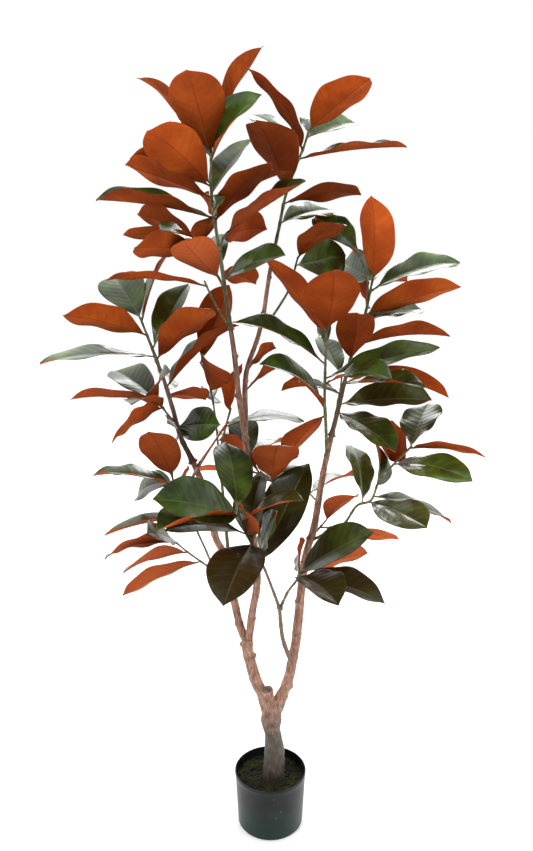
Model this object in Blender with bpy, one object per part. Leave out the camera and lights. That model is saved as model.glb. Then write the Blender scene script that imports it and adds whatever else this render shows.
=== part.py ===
"""A magnolia, 1.5 m tall, in a plastic nursery pot: pot, soil, trunk, limbs and leafy shoots.

Metres, +Z up, the floor at z = 0, the pot's axis on the Z axis, the front facing -Y.
Every shoot is one closed body, its stem joined with its own leaves, and it stops a small
clearance away from the limb that it grows on.
"""

import math

import bmesh
import bpy
from mathutils import Matrix, Vector

# ---- driving dimensions --------------------------------------------------------------------
TREE_HEIGHT = 1.5
LEAF_LENGTH = 0.165
LEAF_THICKNESS = 0.0014
POT_HEIGHT = 0.114
POT_RIM_RADIUS = 0.0735
POT_BASE_RADIUS = 0.067
POT_WALL = 0.0018
POT_FLOOR = 0.003
RIM_BAND = 0.006
SOIL_DROP = 0.016
TRUNK_FOOT_RADIUS = 0.0245
CLEARANCE = 0.0003

# ---- what follows from them ----------------------------------------------------------------
SOIL_TOP = POT_HEIGHT - SOIL_DROP
DRAWN_HEIGHT = 1.5
DRAWN_SOIL = 0.098
DRAWN_LEAF = 0.165
GROWTH = (TREE_HEIGHT - SOIL_TOP) / (DRAWN_HEIGHT - DRAWN_SOIL)
LEAF_SCALE = LEAF_LENGTH / DRAWN_LEAF
GIRTH = TRUNK_FOOT_RADIUS / 0.0245
POT_SIDES = 48
LIMB_SIDES = 8
TWIG_SIDES = 6

# A leaf's half width at shares of its length, as shares of its widest half width.
LEAF_OUTLINE = ((0.09, 0.07), (0.3, 0.72), (0.56, 1.0), (0.82, 0.74))
LEAF_FOLD = 0.16
LEAF_BOW = 0.05
LEAF_STALK = 0.0013

# The stump and the sawn stub beside its fork: centre line and radius at each point.
TRUNK = (
    (0.0065, 0.0, 0.075, 0.0245),
    (0.0075, 0.0, 0.115, 0.0232),
    (0.0085, 0.0, 0.150, 0.0218),
    (0.0065, 0.0, 0.185, 0.0195),
    (0.0020, 0.0, 0.215, 0.0165),
    (0.0030, 0.0, 0.244, 0.0215),
    (0.0030, 0.0, 0.258, 0.0165),
)
STUB = (
    (0.0000, -0.002, 0.240, 0.0125),
    (-0.0070, -0.012, 0.302, 0.0120),
)

# Each limb: what it stops short of, its radius at the start and at the end, and its route.
LIMBS = {
    "left_limb": (("trunk",), 0.0125, 0.0105, (
        (-0.002, 0.0, 0.240), (-0.013, 0.0, 0.279), (-0.027, -0.005, 0.310),
        (-0.037, -0.010, 0.347), (-0.045, -0.010, 0.382), (-0.046, -0.010, 0.410),
    )),
    "left_stem": (("left_limb",), 0.0082, 0.0058, (
        (-0.048, -0.009, 0.403), (-0.060, 0.0, 0.430), (-0.069, 0.010, 0.466),
        (-0.081, 0.020, 0.511), (-0.093, 0.030, 0.570), (-0.109, 0.030, 0.606),
        (-0.119, 0.020, 0.663), (-0.131, 0.010, 0.719), (-0.148, 0.0, 0.769),
    )),
    "left_shoot": (("left_stem",), 0.0055, 0.002, (
        (-0.148, 0.0, 0.769), (-0.169, -0.010, 0.819), (-0.182, -0.018, 0.875),
        (-0.195, -0.020, 0.923), (-0.207, -0.030, 0.965), (-0.222, -0.035, 1.010),
        (-0.233, -0.040, 1.043),
    )),
    "back_stem": (("left_stem",), 0.0045, 0.002, (
        (-0.077, 0.017, 0.495), (-0.085, 0.060, 0.548), (-0.092, 0.078, 0.620),
        (-0.098, 0.085, 0.690), (-0.104, 0.085, 0.753), (-0.091, 0.075, 0.817),
        (-0.078, 0.062, 0.863),
    )),
    "middle_limb": (("left_limb", "left_stem"), 0.0078, 0.0045, (
        (-0.044, -0.010, 0.403), (-0.035, -0.010, 0.471), (-0.027, -0.010, 0.517),
        (-0.027, 0.0, 0.561), (-0.034, 0.010, 0.619), (-0.040, 0.018, 0.679),
        (-0.041, 0.020, 0.728), (-0.046, 0.020, 0.788), (-0.052, 0.014, 0.838),
        (-0.060, 0.006, 0.900), (-0.066, -0.002, 0.960), (-0.073, -0.010, 1.019),
    )),
    "middle_shoot": (("middle_limb",), 0.0042, 0.002, (
        (-0.073, -0.010, 1.019), (-0.082, -0.010, 1.085), (-0.091, -0.010, 1.152),
        (-0.099, -0.010, 1.205), (-0.105, -0.015, 1.263), (-0.104, -0.020, 1.332),
    )),
    "crown_limb": (("middle_limb",), 0.0055, 0.0035, (
        (-0.049, 0.018, 0.800), (-0.049, 0.032, 0.850), (-0.049, 0.036, 0.913),
        (-0.043, 0.036, 0.950), (-0.026, 0.040, 0.998), (-0.014, 0.043, 1.045),
        (-0.005, 0.050, 1.104), (0.003, 0.055, 1.150),
    )),
    "crown_shoot": (("crown_limb",), 0.0034, 0.0018, (
        (0.003, 0.055, 1.150), (0.016, 0.050, 1.208), (0.026, 0.045, 1.257),
        (0.041, 0.038, 1.300), (0.058, 0.030, 1.341), (0.069, 0.020, 1.373),
    )),
    "right_limb": (("trunk", "left_limb"), 0.0115, 0.005, (
        (0.006, 0.0, 0.240), (0.026, 0.0, 0.286), (0.038, 0.0, 0.323),
        (0.046, 0.005, 0.365), (0.052, 0.010, 0.400), (0.058, 0.015, 0.460),
        (0.063, 0.020, 0.515), (0.072, 0.020, 0.580), (0.085, 0.015, 0.632),
        (0.094, 0.010, 0.695), (0.102, 0.005, 0.752), (0.115, 0.0, 0.820),
    )),
    "right_shoot": (("right_limb",), 0.0048, 0.002, (
        (0.115, 0.0, 0.820), (0.127, 0.0, 0.872), (0.140, 0.010, 0.925),
        (0.151, 0.020, 0.965), (0.165, 0.030, 1.004), (0.179, 0.037, 1.050),
        (0.192, 0.045, 1.113),
    )),
    "green_shoot": (("right_limb",), 0.0034, 0.002, (
        (0.107, 0.003, 0.780), (0.102, -0.030, 0.837), (0.097, -0.050, 0.896),
        (0.096, -0.062, 0.955), (0.096, -0.070, 1.022),
    )),
    "front_twig": (("right_limb",), 0.0048, 0.0035, (
        (0.045, 0.004, 0.350), (0.032, -0.022, 0.390), (0.022, -0.035, 0.433),
        (0.016, -0.060, 0.503),
    )),
    "front_left_twig": (("front_twig",), 0.003, 0.0018, (
        (0.016, -0.060, 0.500), (0.002, -0.078, 0.548), (-0.011, -0.090, 0.588),
        (-0.026, -0.102, 0.628), (-0.044, -0.113, 0.665), (-0.061, -0.120, 0.715),
    )),
    "front_right_twig": (("front_twig", "front_left_twig"), 0.003, 0.0018, (
        (0.018, -0.058, 0.497), (0.032, -0.070, 0.536), (0.047, -0.080, 0.562),
        (0.053, -0.085, 0.582),
    )),
    "low_left_twig": (("left_stem",), 0.0025, 0.0016, (
        (-0.083, 0.022, 0.520), (-0.107, 0.0, 0.546), (-0.136, -0.020, 0.577),
        (-0.160, -0.040, 0.605), (-0.181, -0.050, 0.629),
    )),
    "left_twig": (("left_stem",), 0.0025, 0.0016, (
        (-0.082, 0.021, 0.512), (-0.096, -0.010, 0.538), (-0.111, -0.020, 0.565),
        (-0.128, -0.040, 0.619), (-0.150, -0.050, 0.674), (-0.169, -0.055, 0.710),
        (-0.182, -0.060, 0.761),
    )),
    "inner_twig": (("back_stem",), 0.0022, 0.0015, (
        (-0.104, 0.085, 0.752), (-0.109, 0.080, 0.826), (-0.115, 0.070, 0.880),
        (-0.124, 0.062, 0.925), (-0.137, 0.060, 0.954),
    )),
    "left_fork_twig": (("left_shoot",), 0.002, 0.0015, (
        (-0.176, -0.014, 0.847), (-0.189, -0.030, 0.865), (-0.205, -0.050, 0.896),
    )),
    "centre_twig": (("crown_limb",), 0.0025, 0.0016, (
        (-0.016, 0.042, 1.036), (0.0, 0.030, 1.040), (0.019, 0.010, 1.067),
        (0.034, -0.012, 1.096), (0.047, -0.040, 1.147),
    )),
    "upper_left_twig": (("middle_shoot",), 0.0022, 0.0015, (
        (-0.083, -0.010, 1.090), (-0.096, -0.030, 1.118), (-0.112, -0.052, 1.145),
        (-0.126, -0.070, 1.172),
    )),
    "mid_left_twig": (("middle_shoot",), 0.0022, 0.0015, (
        (-0.076, -0.010, 1.026), (-0.090, -0.032, 1.050), (-0.102, -0.052, 1.074),
        (-0.115, -0.070, 1.106),
    )),
    "right_twig": (("right_limb",), 0.003, 0.0016, (
        (0.078, 0.018, 0.603), (0.112, 0.0, 0.629), (0.140, -0.020, 0.652),
        (0.161, -0.040, 0.694), (0.186, -0.050, 0.708), (0.199, -0.050, 0.743),
        (0.226, -0.050, 0.777), (0.258, -0.050, 0.811),
    )),
    "short_right_twig": (("right_limb",), 0.002, 0.0015, (
        (0.079, 0.018, 0.610), (0.095, 0.021, 0.628), (0.110, 0.028, 0.643),
    )),
    "short_middle_twig": (("middle_limb",), 0.0022, 0.0016, (
        (-0.042, 0.020, 0.746), (-0.022, 0.0, 0.745), (-0.005, -0.014, 0.738),
        (0.006, -0.020, 0.733),
    )),
    "back_right_twig": (("right_shoot",), 0.002, 0.0015, (
        (0.184, 0.040, 1.075), (0.176, 0.020, 1.119), (0.161, 0.032, 1.161),
    )),
    "back_middle_twig": (("right_limb",), 0.002, 0.0015, (
        (0.093, 0.011, 0.685), (0.084, 0.030, 0.690), (0.077, 0.045, 0.694),
    )),
    "rear_middle_twig": (("middle_limb",), 0.0024, 0.0016, (
        (-0.040, 0.018, 0.672), (-0.043, 0.055, 0.690), (-0.050, 0.085, 0.715),
        (-0.052, 0.105, 0.745),
    )),
    "rear_right_twig": (("right_shoot",), 0.0024, 0.0016, (
        (0.124, 0.0, 0.862), (0.130, 0.040, 0.880), (0.138, 0.070, 0.900),
        (0.142, 0.090, 0.925),
    )),
    "crown_side_twig": (("middle_shoot",), 0.0022, 0.0015, (
        (-0.092, -0.010, 1.160), (-0.085, -0.020, 1.181), (-0.077, -0.030, 1.190),
    )),
}

# Leaves on each limb: share of the way along it, heading from +X and rise in degrees,
# roll about the midrib in degrees, length and width in metres.
LEAVES = {
    "left_shoot": (
        (0.22, -95, 20, -45, 0.110, 0.050), (0.26, -50, 10, 65, 0.140, 0.065),
        (0.48, 65, -12, -20, 0.140, 0.070), (0.50, 105, 15, 45, 0.130, 0.065),
        (0.53, 28, 39, -14, 0.185, 0.075), (0.74, -162, 0, -11, 0.200, 0.075),
        (0.72, -33, 35, -14, 0.160, 0.085), (0.79, 50, 52, 5, 0.150, 0.070),
        (0.88, -138, 14, 30, 0.165, 0.080), (0.97, 55, 60, -35, 0.150, 0.060),
        (1.0, 123, 33, -25, 0.150, 0.085),
    ),
    "back_stem": (
        (0.89, 15, 3, 5, 0.165, 0.075), (0.97, -50, 66, 20, 0.110, 0.055),
    ),
    "middle_shoot": (
        (0.29, -42, 15, 45, 0.150, 0.070), (0.33, 60, -10, -25, 0.120, 0.060),
        (0.36, 103, 24, -19, 0.140, 0.060), (0.62, 110, 34, 80, 0.090, 0.040),
        (0.6, -74, 31, 88, 0.075, 0.035), (0.61, -46, 30, 0, 0.165, 0.075),
        (0.63, -166, 7, -13, 0.205, 0.080), (0.65, 108, -23, -20, 0.110, 0.055),
        (0.67, -17, 25, 5, 0.155, 0.070), (0.74, 170, 20, 25, 0.170, 0.080),
        (0.76, 50, 44, -5, 0.165, 0.080), (0.81, -129, 25, 35, 0.160, 0.088),
        (0.8, 166, 21, 28, 0.160, 0.075), (0.93, -45, 36, 65, 0.150, 0.070),
        (0.95, 120, 35, -17, 0.150, 0.075), (0.97, -101, 37, 10, 0.165, 0.090),
        (1.0, 0, 63, -10, 0.190, 0.080), (1.0, 174, 46, 15, 0.175, 0.075),
    ),
    "crown_limb": (
        (0.28, 50, 18, -45, 0.150, 0.065), (0.38, 60, 21, -55, 0.120, 0.055),
    ),
    "crown_shoot": (
        (0.27, 43, 13, 26, 0.150, 0.070), (0.42, 22, 8, -20, 0.165, 0.075),
        (0.52, -111, 33, -8, 0.175, 0.092), (0.77, 0, 6, 12, 0.195, 0.065),
        (0.83, -135, 39, -18, 0.175, 0.055), (0.85, 138, 33, -12, 0.155, 0.075),
        (0.93, 43, 19, 30, 0.150, 0.065), (0.96, 82, 35, -13, 0.085, 0.032),
        (1.0, -54, 18, -10, 0.160, 0.080),
    ),
    "right_shoot": (
        (0.15, -55, -16, 10, 0.160, 0.075), (0.2, -13, 5, 29, 0.170, 0.088),
        (0.26, -160, 17, -15, 0.095, 0.045), (0.33, -35, 4, 10, 0.160, 0.080),
        (0.44, 0, -16, -20, 0.200, 0.080), (0.48, -92, 38, 2, 0.150, 0.070),
        (0.57, 0, 6, -20, 0.180, 0.080), (0.73, 31, 8, 27, 0.150, 0.070),
        (0.77, -15, 17, -30, 0.180, 0.085), (0.80, 95, 31, 80, 0.100, 0.050),
        (0.92, 0, 19, 25, 0.175, 0.085), (0.91, 49, 10, -25, 0.140, 0.060),
        (0.97, 66, 20, 12, 0.120, 0.060), (1, 110, 17, -59, 0.140, 0.078),
        (1.0, -101, 61, -35, 0.165, 0.080),
    ),
    "green_shoot": (
        (0.38, 125, -41, 0, 0.145, 0.075), (0.43, -147, 35, -31, 0.165, 0.080),
        (0.62, -48, 10, 20, 0.150, 0.070), (0.66, -13, 16, 22, 0.205, 0.080),
        (0.76, 180, 26, -19, 0.180, 0.075), (0.90, 111, 35, 35, 0.150, 0.070),
        (0.91, 70, 24, -45, 0.140, 0.065), (0.96, 180, 51, 25, 0.170, 0.080),
        (1.0, -90, 38, 0, 0.165, 0.090),
    ),
    "front_left_twig": (
        (0.48, 23, 62, 30, 0.200, 0.090), (0.55, -63, 55, 75, 0.130, 0.060),
        (0.66, 83, 48, -35, 0.140, 0.080), (0.68, -104, -15, 0, 0.175, 0.095),
        (0.75, -93, 43, -50, 0.110, 0.055), (0.77, -148, 14, -10, 0.160, 0.080),
        (0.87, -39, 28, 15, 0.150, 0.065), (0.92, -154, 20, -40, 0.165, 0.095),
        (0.94, -142, 2, 0, 0.165, 0.090), (1.0, 102, 37, 20, 0.160, 0.080),
    ),
    "front_right_twig": (
        (0.82, -16, -8, 10, 0.165, 0.080), (0.90, -66, 3, 5, 0.150, 0.080),
        (0.94, 27, 5, -50, 0.155, 0.070), (0.97, 83, 13, -80, 0.110, 0.050),
        (1.0, -26, 36, 35, 0.170, 0.085),
    ),
    "low_left_twig": (
        (0.53, -175, -24, 40, 0.165, 0.075), (0.77, -133, 3, 40, 0.150, 0.070),
        (0.96, -140, 4, 40, 0.150, 0.065), (1.0, -107, 27, -40, 0.120, 0.060),
    ),
    "left_twig": (
        (0.68, 180, -12, 5, 0.165, 0.070), (0.80, 18, 57, -15, 0.175, 0.070),
        (0.89, 89, 0, -40, 0.120, 0.055), (0.92, 180, 9, 0, 0.150, 0.070),
        (0.94, 137, -23, -45, 0.130, 0.065), (0.96, 91, 26, -65, 0.150, 0.065),
        (1, -107, 49, 15, 0.135, 0.070),
    ),
    "inner_twig": (
        (0.57, 105, 7, 40, 0.100, 0.050), (0.60, 84, 9, -45, 0.100, 0.045),
        (0.69, -88, 33, -35, 0.140, 0.070), (1.0, 0, 69, -50, 0.160, 0.075),
    ),
    "left_fork_twig": (
        (0.68, -106, 14, 5, 0.130, 0.060), (0.70, -117, -13, 50, 0.150, 0.070),
        (0.92, 180, 3, 20, 0.160, 0.075), (0.94, -70, 33, 55, 0.120, 0.055),
        (1, 132, 16, -18, 0.150, 0.075),
    ),
    "centre_twig": (
        (0.9, 48, 8, 76, 0.150, 0.075), (1.0, -59, 22, 0, 0.140, 0.070),
    ),
    "upper_left_twig": (
        (0.25, -111, 22, 19, 0.150, 0.075), (0.73, -128, 1, 34, 0.160, 0.075),
        (0.94, 180, 7, 15, 0.130, 0.065), (0.97, 147, 21, 44, 0.150, 0.065),
        (1, -111, 4, -35, 0.130, 0.050),
    ),
    "mid_left_twig": (
        (0.90, 186, 5, 10, 0.170, 0.066),
    ),
    "right_twig": (
        (0.51, 93, 38, 35, 0.145, 0.070), (0.55, -57, -3, 20, 0.150, 0.080),
        (0.60, 7, -19, 5, 0.165, 0.075), (0.66, 84, 25, 65, 0.140, 0.060),
        (0.84, -46, 1, 22, 0.160, 0.075), (0.96, 104, 0, 88, 0.150, 0.080),
        (0.98, -44, 5, -25, 0.150, 0.060), (1, 63, 27, -10, 0.140, 0.080),
    ),
    "short_right_twig": (
        (0.60, 10, -13, -30, 0.170, 0.075), (1.0, -57, 40, -10, 0.120, 0.060),
    ),
    "short_middle_twig": (
        (0.5, 126, 18, 60, 0.150, 0.065), (0.86, 82, 10, -10, 0.130, 0.065),
        (1.0, -86, 38, 0, 0.165, 0.085),
    ),
    "back_right_twig": (
        (0.89, 108, 22, 60, 0.110, 0.055), (1, 134, 33, -29, 0.130, 0.068),
    ),
    "back_middle_twig": (
        (1.0, 43, 7, -15, 0.140, 0.065),
    ),
    "rear_middle_twig": (
        (0.60, 20, 5, 20, 0.130, 0.065), (0.75, 140, -5, 10, 0.140, 0.070),
        (0.90, 55, 12, -10, 0.140, 0.070), (0.93, 112, 15, 15, 0.150, 0.075),
        (1.0, 95, 42, 5, 0.130, 0.065),
    ),
    "rear_right_twig": (
        (0.60, 150, 0, 10, 0.130, 0.065), (0.80, 20, 0, -15, 0.140, 0.070),
        (0.95, 70, 10, 0, 0.150, 0.075), (1.0, 110, 35, 10, 0.130, 0.065),
    ),
    "crown_side_twig": (
        (0.6, 56, 11, -55, 0.140, 0.070), (1, -37, 23, 25, 0.180, 0.090),
    ),
}

WOODY = ("left_limb", "left_stem", "middle_limb", "crown_limb", "right_limb")


# ---- materials -----------------------------------------------------------------------------
def material(name, color, roughness, metallic=0.0):
    made = bpy.data.materials.new(name)
    made.use_nodes = True
    shader = made.node_tree.nodes["Principled BSDF"]
    shader.inputs["Base Color"].default_value = (*color, 1.0)
    shader.inputs["Roughness"].default_value = roughness
    shader.inputs["Metallic"].default_value = metallic
    made.diffuse_color = (*color, 1.0)
    return made


# ---- small shape tools ---------------------------------------------------------------------
def place(point):
    """A drawn point moved to where it lies on a tree of the driving height."""
    x, y, z = point
    return Vector((x * GROWTH, y * GROWTH, SOIL_TOP + (z - DRAWN_SOIL) * GROWTH))


def lengths_along(route):
    """The distance from the start to each of the route's points."""
    run = [0.0]
    for first, second in zip(route, route[1:]):
        run.append(run[-1] + (second - first).length)
    return run


def point_along(route, share):
    run = lengths_along(route)
    target = share * run[-1]
    for index in range(len(route) - 1):
        if target <= run[index + 1] or index == len(route) - 2:
            part = (target - run[index]) / (run[index + 1] - run[index])
            return route[index].lerp(route[index + 1], part)


def rings_on(route, radii, sides):
    """Rings of points square to the route, each turned as little as possible from the last."""
    rings = []
    side = None
    for index, centre in enumerate(route):
        before = route[max(index - 1, 0)]
        after = route[min(index + 1, len(route) - 1)]
        along = (after - before).normalized()
        if side is None:
            side = along.orthogonal().normalized()
        side = (side - along * side.dot(along)).normalized()
        other = along.cross(side)
        ring = []
        for step in range(sides):
            angle = 2.0 * math.pi * step / sides
            spoke = side * math.cos(angle) + other * math.sin(angle)
            ring.append(centre + spoke * radii[index])
        rings.append(ring)
    return rings


def add_tube(bm, route, radii, sides):
    """A closed, capped tube along the route."""
    rings = []
    for ring in rings_on(route, radii, sides):
        rings.append([bm.verts.new(corner) for corner in ring])
    for low, high in zip(rings, rings[1:]):
        for step in range(sides):
            following = (step + 1) % sides
            bm.faces.new((low[step], low[following], high[following], high[step]))
    bm.faces.new(list(reversed(rings[0])))
    bm.faces.new(rings[-1])


def leaf_frame(heading, rise, roll):
    """The midrib's direction, the blade's sideways direction and the way its upper face looks."""
    turn = math.radians(heading)
    lift = math.radians(rise)
    along = Vector((
        math.cos(lift) * math.cos(turn),
        math.cos(lift) * math.sin(turn),
        math.sin(lift),
    ))
    level = Vector((-math.sin(turn), math.cos(turn), 0.0))
    above = along.cross(level)
    angle = math.radians(roll)
    side = level * math.cos(angle) + above * math.sin(angle)
    face = above * math.cos(angle) - level * math.sin(angle)
    return along, side, face


def add_leaf(bm, base, heading, rise, roll, length, width):
    """A folded, gently bowed blade, thickest at the midrib and sharp at its edges."""
    along, side, face = leaf_frame(heading, rise, roll)
    length = length * LEAF_SCALE
    half = width * LEAF_SCALE / 2.0
    thick = LEAF_THICKNESS / 2.0

    def section(share, reach, depth):
        bow = LEAF_BOW * length * 4.0 * share * (1.0 - share)
        centre = base + along * (share * length) + face * bow
        lift = face * (LEAF_FOLD * reach)
        return [
            bm.verts.new(centre + side * reach + lift),
            bm.verts.new(centre + face * depth),
            bm.verts.new(centre - side * reach + lift),
            bm.verts.new(centre - face * depth),
        ]

    rings = [section(0.0, LEAF_STALK, LEAF_STALK)]
    for share, reach in LEAF_OUTLINE:
        rings.append(section(share, half * reach, max(thick, LEAF_STALK * (0.35 - share) * 3.0)))
    tip = bm.verts.new(base + along * length)
    for low, high in zip(rings, rings[1:]):
        for step in range(4):
            following = (step + 1) % 4
            bm.faces.new((low[step], high[step], high[following], low[following]))
    bm.faces.new(rings[0])
    for step in range(4):
        bm.faces.new((rings[-1][step], tip, rings[-1][(step + 1) % 4]))


def finished(bm, name, look=None):
    """The built mesh as an object in the scene, its faces all looking outwards."""
    bmesh.ops.recalc_face_normals(bm, faces=bm.faces)
    mesh = bpy.data.meshes.new(name)
    bm.to_mesh(mesh)
    bm.free()
    built = bpy.data.objects.new(name, mesh)
    bpy.context.collection.objects.link(built)
    if look is not None:
        mesh.materials.append(look)
    return built


def combine(target, other, operation):
    """One exact boolean between two objects, baked in, with the second one removed."""
    cut = target.modifiers.new(operation.lower(), "BOOLEAN")
    cut.operation = operation
    cut.solver = "EXACT"
    cut.use_self = True
    cut.object = other
    depsgraph = bpy.context.evaluated_depsgraph_get()
    result = bpy.data.meshes.new_from_object(target.evaluated_get(depsgraph))
    result.name = target.name
    target.modifiers.clear()
    old = target.data
    target.data = result
    bpy.data.meshes.remove(old)
    bpy.data.objects.remove(other)


def smooth(built, angle=40.0):
    """Round pieces shaded smooth, with their sharp edges kept."""
    built.data.shade_smooth()
    built.data.set_sharp_from_angle(angle=math.radians(angle))


# ---- pot and soil --------------------------------------------------------------------------
def spun(name, profile, look):
    """A closed body turned about the Z axis from a profile that starts and ends on the axis."""
    bm = bmesh.new()
    rings = []
    for radius, height in profile:
        if radius == 0.0:
            rings.append([bm.verts.new((0.0, 0.0, height))])
            continue
        ring = []
        for step in range(POT_SIDES):
            angle = 2.0 * math.pi * step / POT_SIDES
            ring.append(bm.verts.new((radius * math.cos(angle), radius * math.sin(angle), height)))
        rings.append(ring)
    for low, high in zip(rings, rings[1:]):
        for step in range(POT_SIDES):
            following = (step + 1) % POT_SIDES
            corners = [low[step % len(low)], low[following % len(low)]]
            corners += [high[following % len(high)], high[step % len(high)]]
            bm.faces.new(list(dict.fromkeys(corners)))
    return finished(bm, name, look)


def outer_radius(height):
    """The pot wall's outer radius at a height: it widens evenly from base to rim."""
    return POT_BASE_RADIUS + (POT_RIM_RADIUS - POT_BASE_RADIUS - 0.0012) * height / POT_HEIGHT


def build_pot():
    wall_top = POT_HEIGHT - RIM_BAND
    profile = (
        (0.0, 0.0),
        (POT_BASE_RADIUS - 0.002, 0.0),
        (outer_radius(0.002), 0.002),
        (outer_radius(wall_top - 0.0015), wall_top - 0.0015),
        (POT_RIM_RADIUS, wall_top),
        (POT_RIM_RADIUS, POT_HEIGHT - 0.0006),
        (POT_RIM_RADIUS - 0.0006, POT_HEIGHT),
        (POT_RIM_RADIUS - 0.0012 - POT_WALL, POT_HEIGHT),
        (outer_radius(POT_FLOOR) - POT_WALL, POT_FLOOR),
        (0.0, POT_FLOOR),
    )
    look = material("pot_plastic", (0.020, 0.029, 0.027), 0.38)
    pot = spun("pot", profile, look)
    smooth(pot)
    return pot


def build_soil():
    low = POT_FLOOR + CLEARANCE
    reach = POT_WALL + CLEARANCE
    profile = (
        (0.0, low),
        (outer_radius(low) - reach, low),
        (outer_radius(SOIL_TOP - 0.002) - reach, SOIL_TOP - 0.002),
        (outer_radius(SOIL_TOP) - reach - 0.004, SOIL_TOP),
        (POT_BASE_RADIUS * 0.6, SOIL_TOP + 0.0015),
        (0.0, SOIL_TOP + 0.002),
    )
    look = material("soil_moss", (0.014, 0.014, 0.008), 0.95)
    soil = spun("soil", profile, look)
    combine(soil, trunk_solid("soil_cutter", CLEARANCE), "DIFFERENCE")
    smooth(soil)
    return soil


# ---- trunk, limbs and shoots ---------------------------------------------------------------
def trunk_solid(name, swell=0.0, look=None):
    """The stump joined with the sawn stub, or the same grown outwards to cut clearance with."""
    pieces = []
    for points in (TRUNK, STUB):
        route = [place(point[:3]) for point in points]
        radii = [point[3] * GIRTH + swell for point in points]
        if swell:
            route[0] = route[0] - Vector((0.0, 0.0, swell))
            route[-1] = route[-1] + (route[-1] - route[-2]).normalized() * swell
        bm = bmesh.new()
        add_tube(bm, route, radii, 14 if points is TRUNK else 10)
        pieces.append(finished(bm, name, look))
    combine(pieces[0], pieces[1], "UNION")
    return pieces[0]


def limb_solid(name, key, swell=0.0, look=None):
    """One limb's bare stem, or the same grown outwards to cut clearance with."""
    _, start, end, points = LIMBS[key]
    route = [place(point) for point in points]
    run = lengths_along(route)
    radii = [(start + (end - start) * here / run[-1]) * GIRTH + swell for here in run]
    if swell:
        route[0] = route[0] - (route[1] - route[0]).normalized() * swell
        route[-1] = route[-1] + (route[-1] - route[-2]).normalized() * swell
    bm = bmesh.new()
    add_tube(bm, route, radii, LIMB_SIDES if key in WOODY else TWIG_SIDES)
    return finished(bm, name, look)


def leaves_solid(name, key, look):
    """All of one limb's leaves in one mesh, each starting inside the stem."""
    points = LIMBS[key][3]
    route = [place(point) for point in points]
    bm = bmesh.new()
    for share, heading, rise, roll, length, width in LEAVES[key]:
        base = point_along(route, min(share, 0.985))
        add_leaf(bm, base, heading, rise, roll, length, width)
    return finished(bm, name, look)


def build_limb(key, bark, leaf):
    look = bark if key in WOODY else leaf
    limb = limb_solid(key, key, 0.0, look)
    if key in LEAVES:
        combine(limb, leaves_solid(key + "_leaves", key, look), "UNION")
    for neighbour in LIMBS[key][0]:
        if neighbour == "trunk":
            cutter = trunk_solid("cutter", CLEARANCE)
        else:
            cutter = limb_solid("cutter", neighbour, CLEARANCE)
        combine(limb, cutter, "DIFFERENCE")
    smooth(limb)
    return limb


def main():
    for old in list(bpy.data.objects):
        bpy.data.objects.remove(old)
    build_pot()
    trunk = trunk_solid("trunk", 0.0, material("trunk_bark", (0.105, 0.084, 0.068), 0.85))
    smooth(trunk)
    build_soil()
    for key in LIMBS:
        bark = material(key + "_bark", (0.199, 0.089, 0.058), 0.8)
        leaf = material(key + "_leaf", (0.392, 0.065, 0.012), 0.6)
        build_limb(key, bark, leaf)


main()
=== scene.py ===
"""Looks of the potted magnolia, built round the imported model: every leaf, twig and limb, the
stump, the soil and the nursery pot, then the floor, the light and the camera. Metres, +Z up.
"""

import math
import random

import bmesh
import bpy
from mathutils import Matrix, Vector, noise


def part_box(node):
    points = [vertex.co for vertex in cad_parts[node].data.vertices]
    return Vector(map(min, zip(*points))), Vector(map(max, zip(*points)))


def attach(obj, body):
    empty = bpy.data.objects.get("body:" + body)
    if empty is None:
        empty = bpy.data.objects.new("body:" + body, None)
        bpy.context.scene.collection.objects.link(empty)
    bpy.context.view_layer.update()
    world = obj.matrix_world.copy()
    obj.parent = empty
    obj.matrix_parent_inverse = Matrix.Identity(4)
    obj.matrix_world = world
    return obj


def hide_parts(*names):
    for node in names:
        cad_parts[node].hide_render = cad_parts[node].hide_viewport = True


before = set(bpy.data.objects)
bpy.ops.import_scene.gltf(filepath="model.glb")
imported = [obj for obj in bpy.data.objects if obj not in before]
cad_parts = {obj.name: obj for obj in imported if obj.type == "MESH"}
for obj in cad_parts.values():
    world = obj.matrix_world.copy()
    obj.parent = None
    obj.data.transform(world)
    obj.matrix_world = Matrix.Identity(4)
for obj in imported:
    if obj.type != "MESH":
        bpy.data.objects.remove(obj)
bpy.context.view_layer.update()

# ---- sizes taken from the frame ------------------------------------------------------------
pot_low, pot_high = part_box("pot")
_, soil_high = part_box("soil")
POT_RIM = (pot_high[0] - pot_low[0]) / 2.0
POT_HEIGHT = pot_high[2]
POT_BASE = POT_RIM - 0.0065
POT_WALL = 0.0018
SOIL_TOP = soil_high[2] - 0.002

MM = 0.001
TURN = 6.28  # about one turn in radians, for waves and ridges
FOOT_ROUNDING = 2.5 * MM
RIM_BEAD = 1.25 * MM
POT_FLOOR = 3.0 * MM
STUMP_X = 0.007
STALK_SHARE = 0.05
LAST_LEAF_SHARE = 0.985
OLD_BELOW, OLD_SPAN = 0.80, 0.20  # leaves start to age below this height, over this far down
TWIG_SIDES = 10
LEAF_THICKNESS = 0.9 * MM
VEIN_PAIRS = 10

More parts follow.
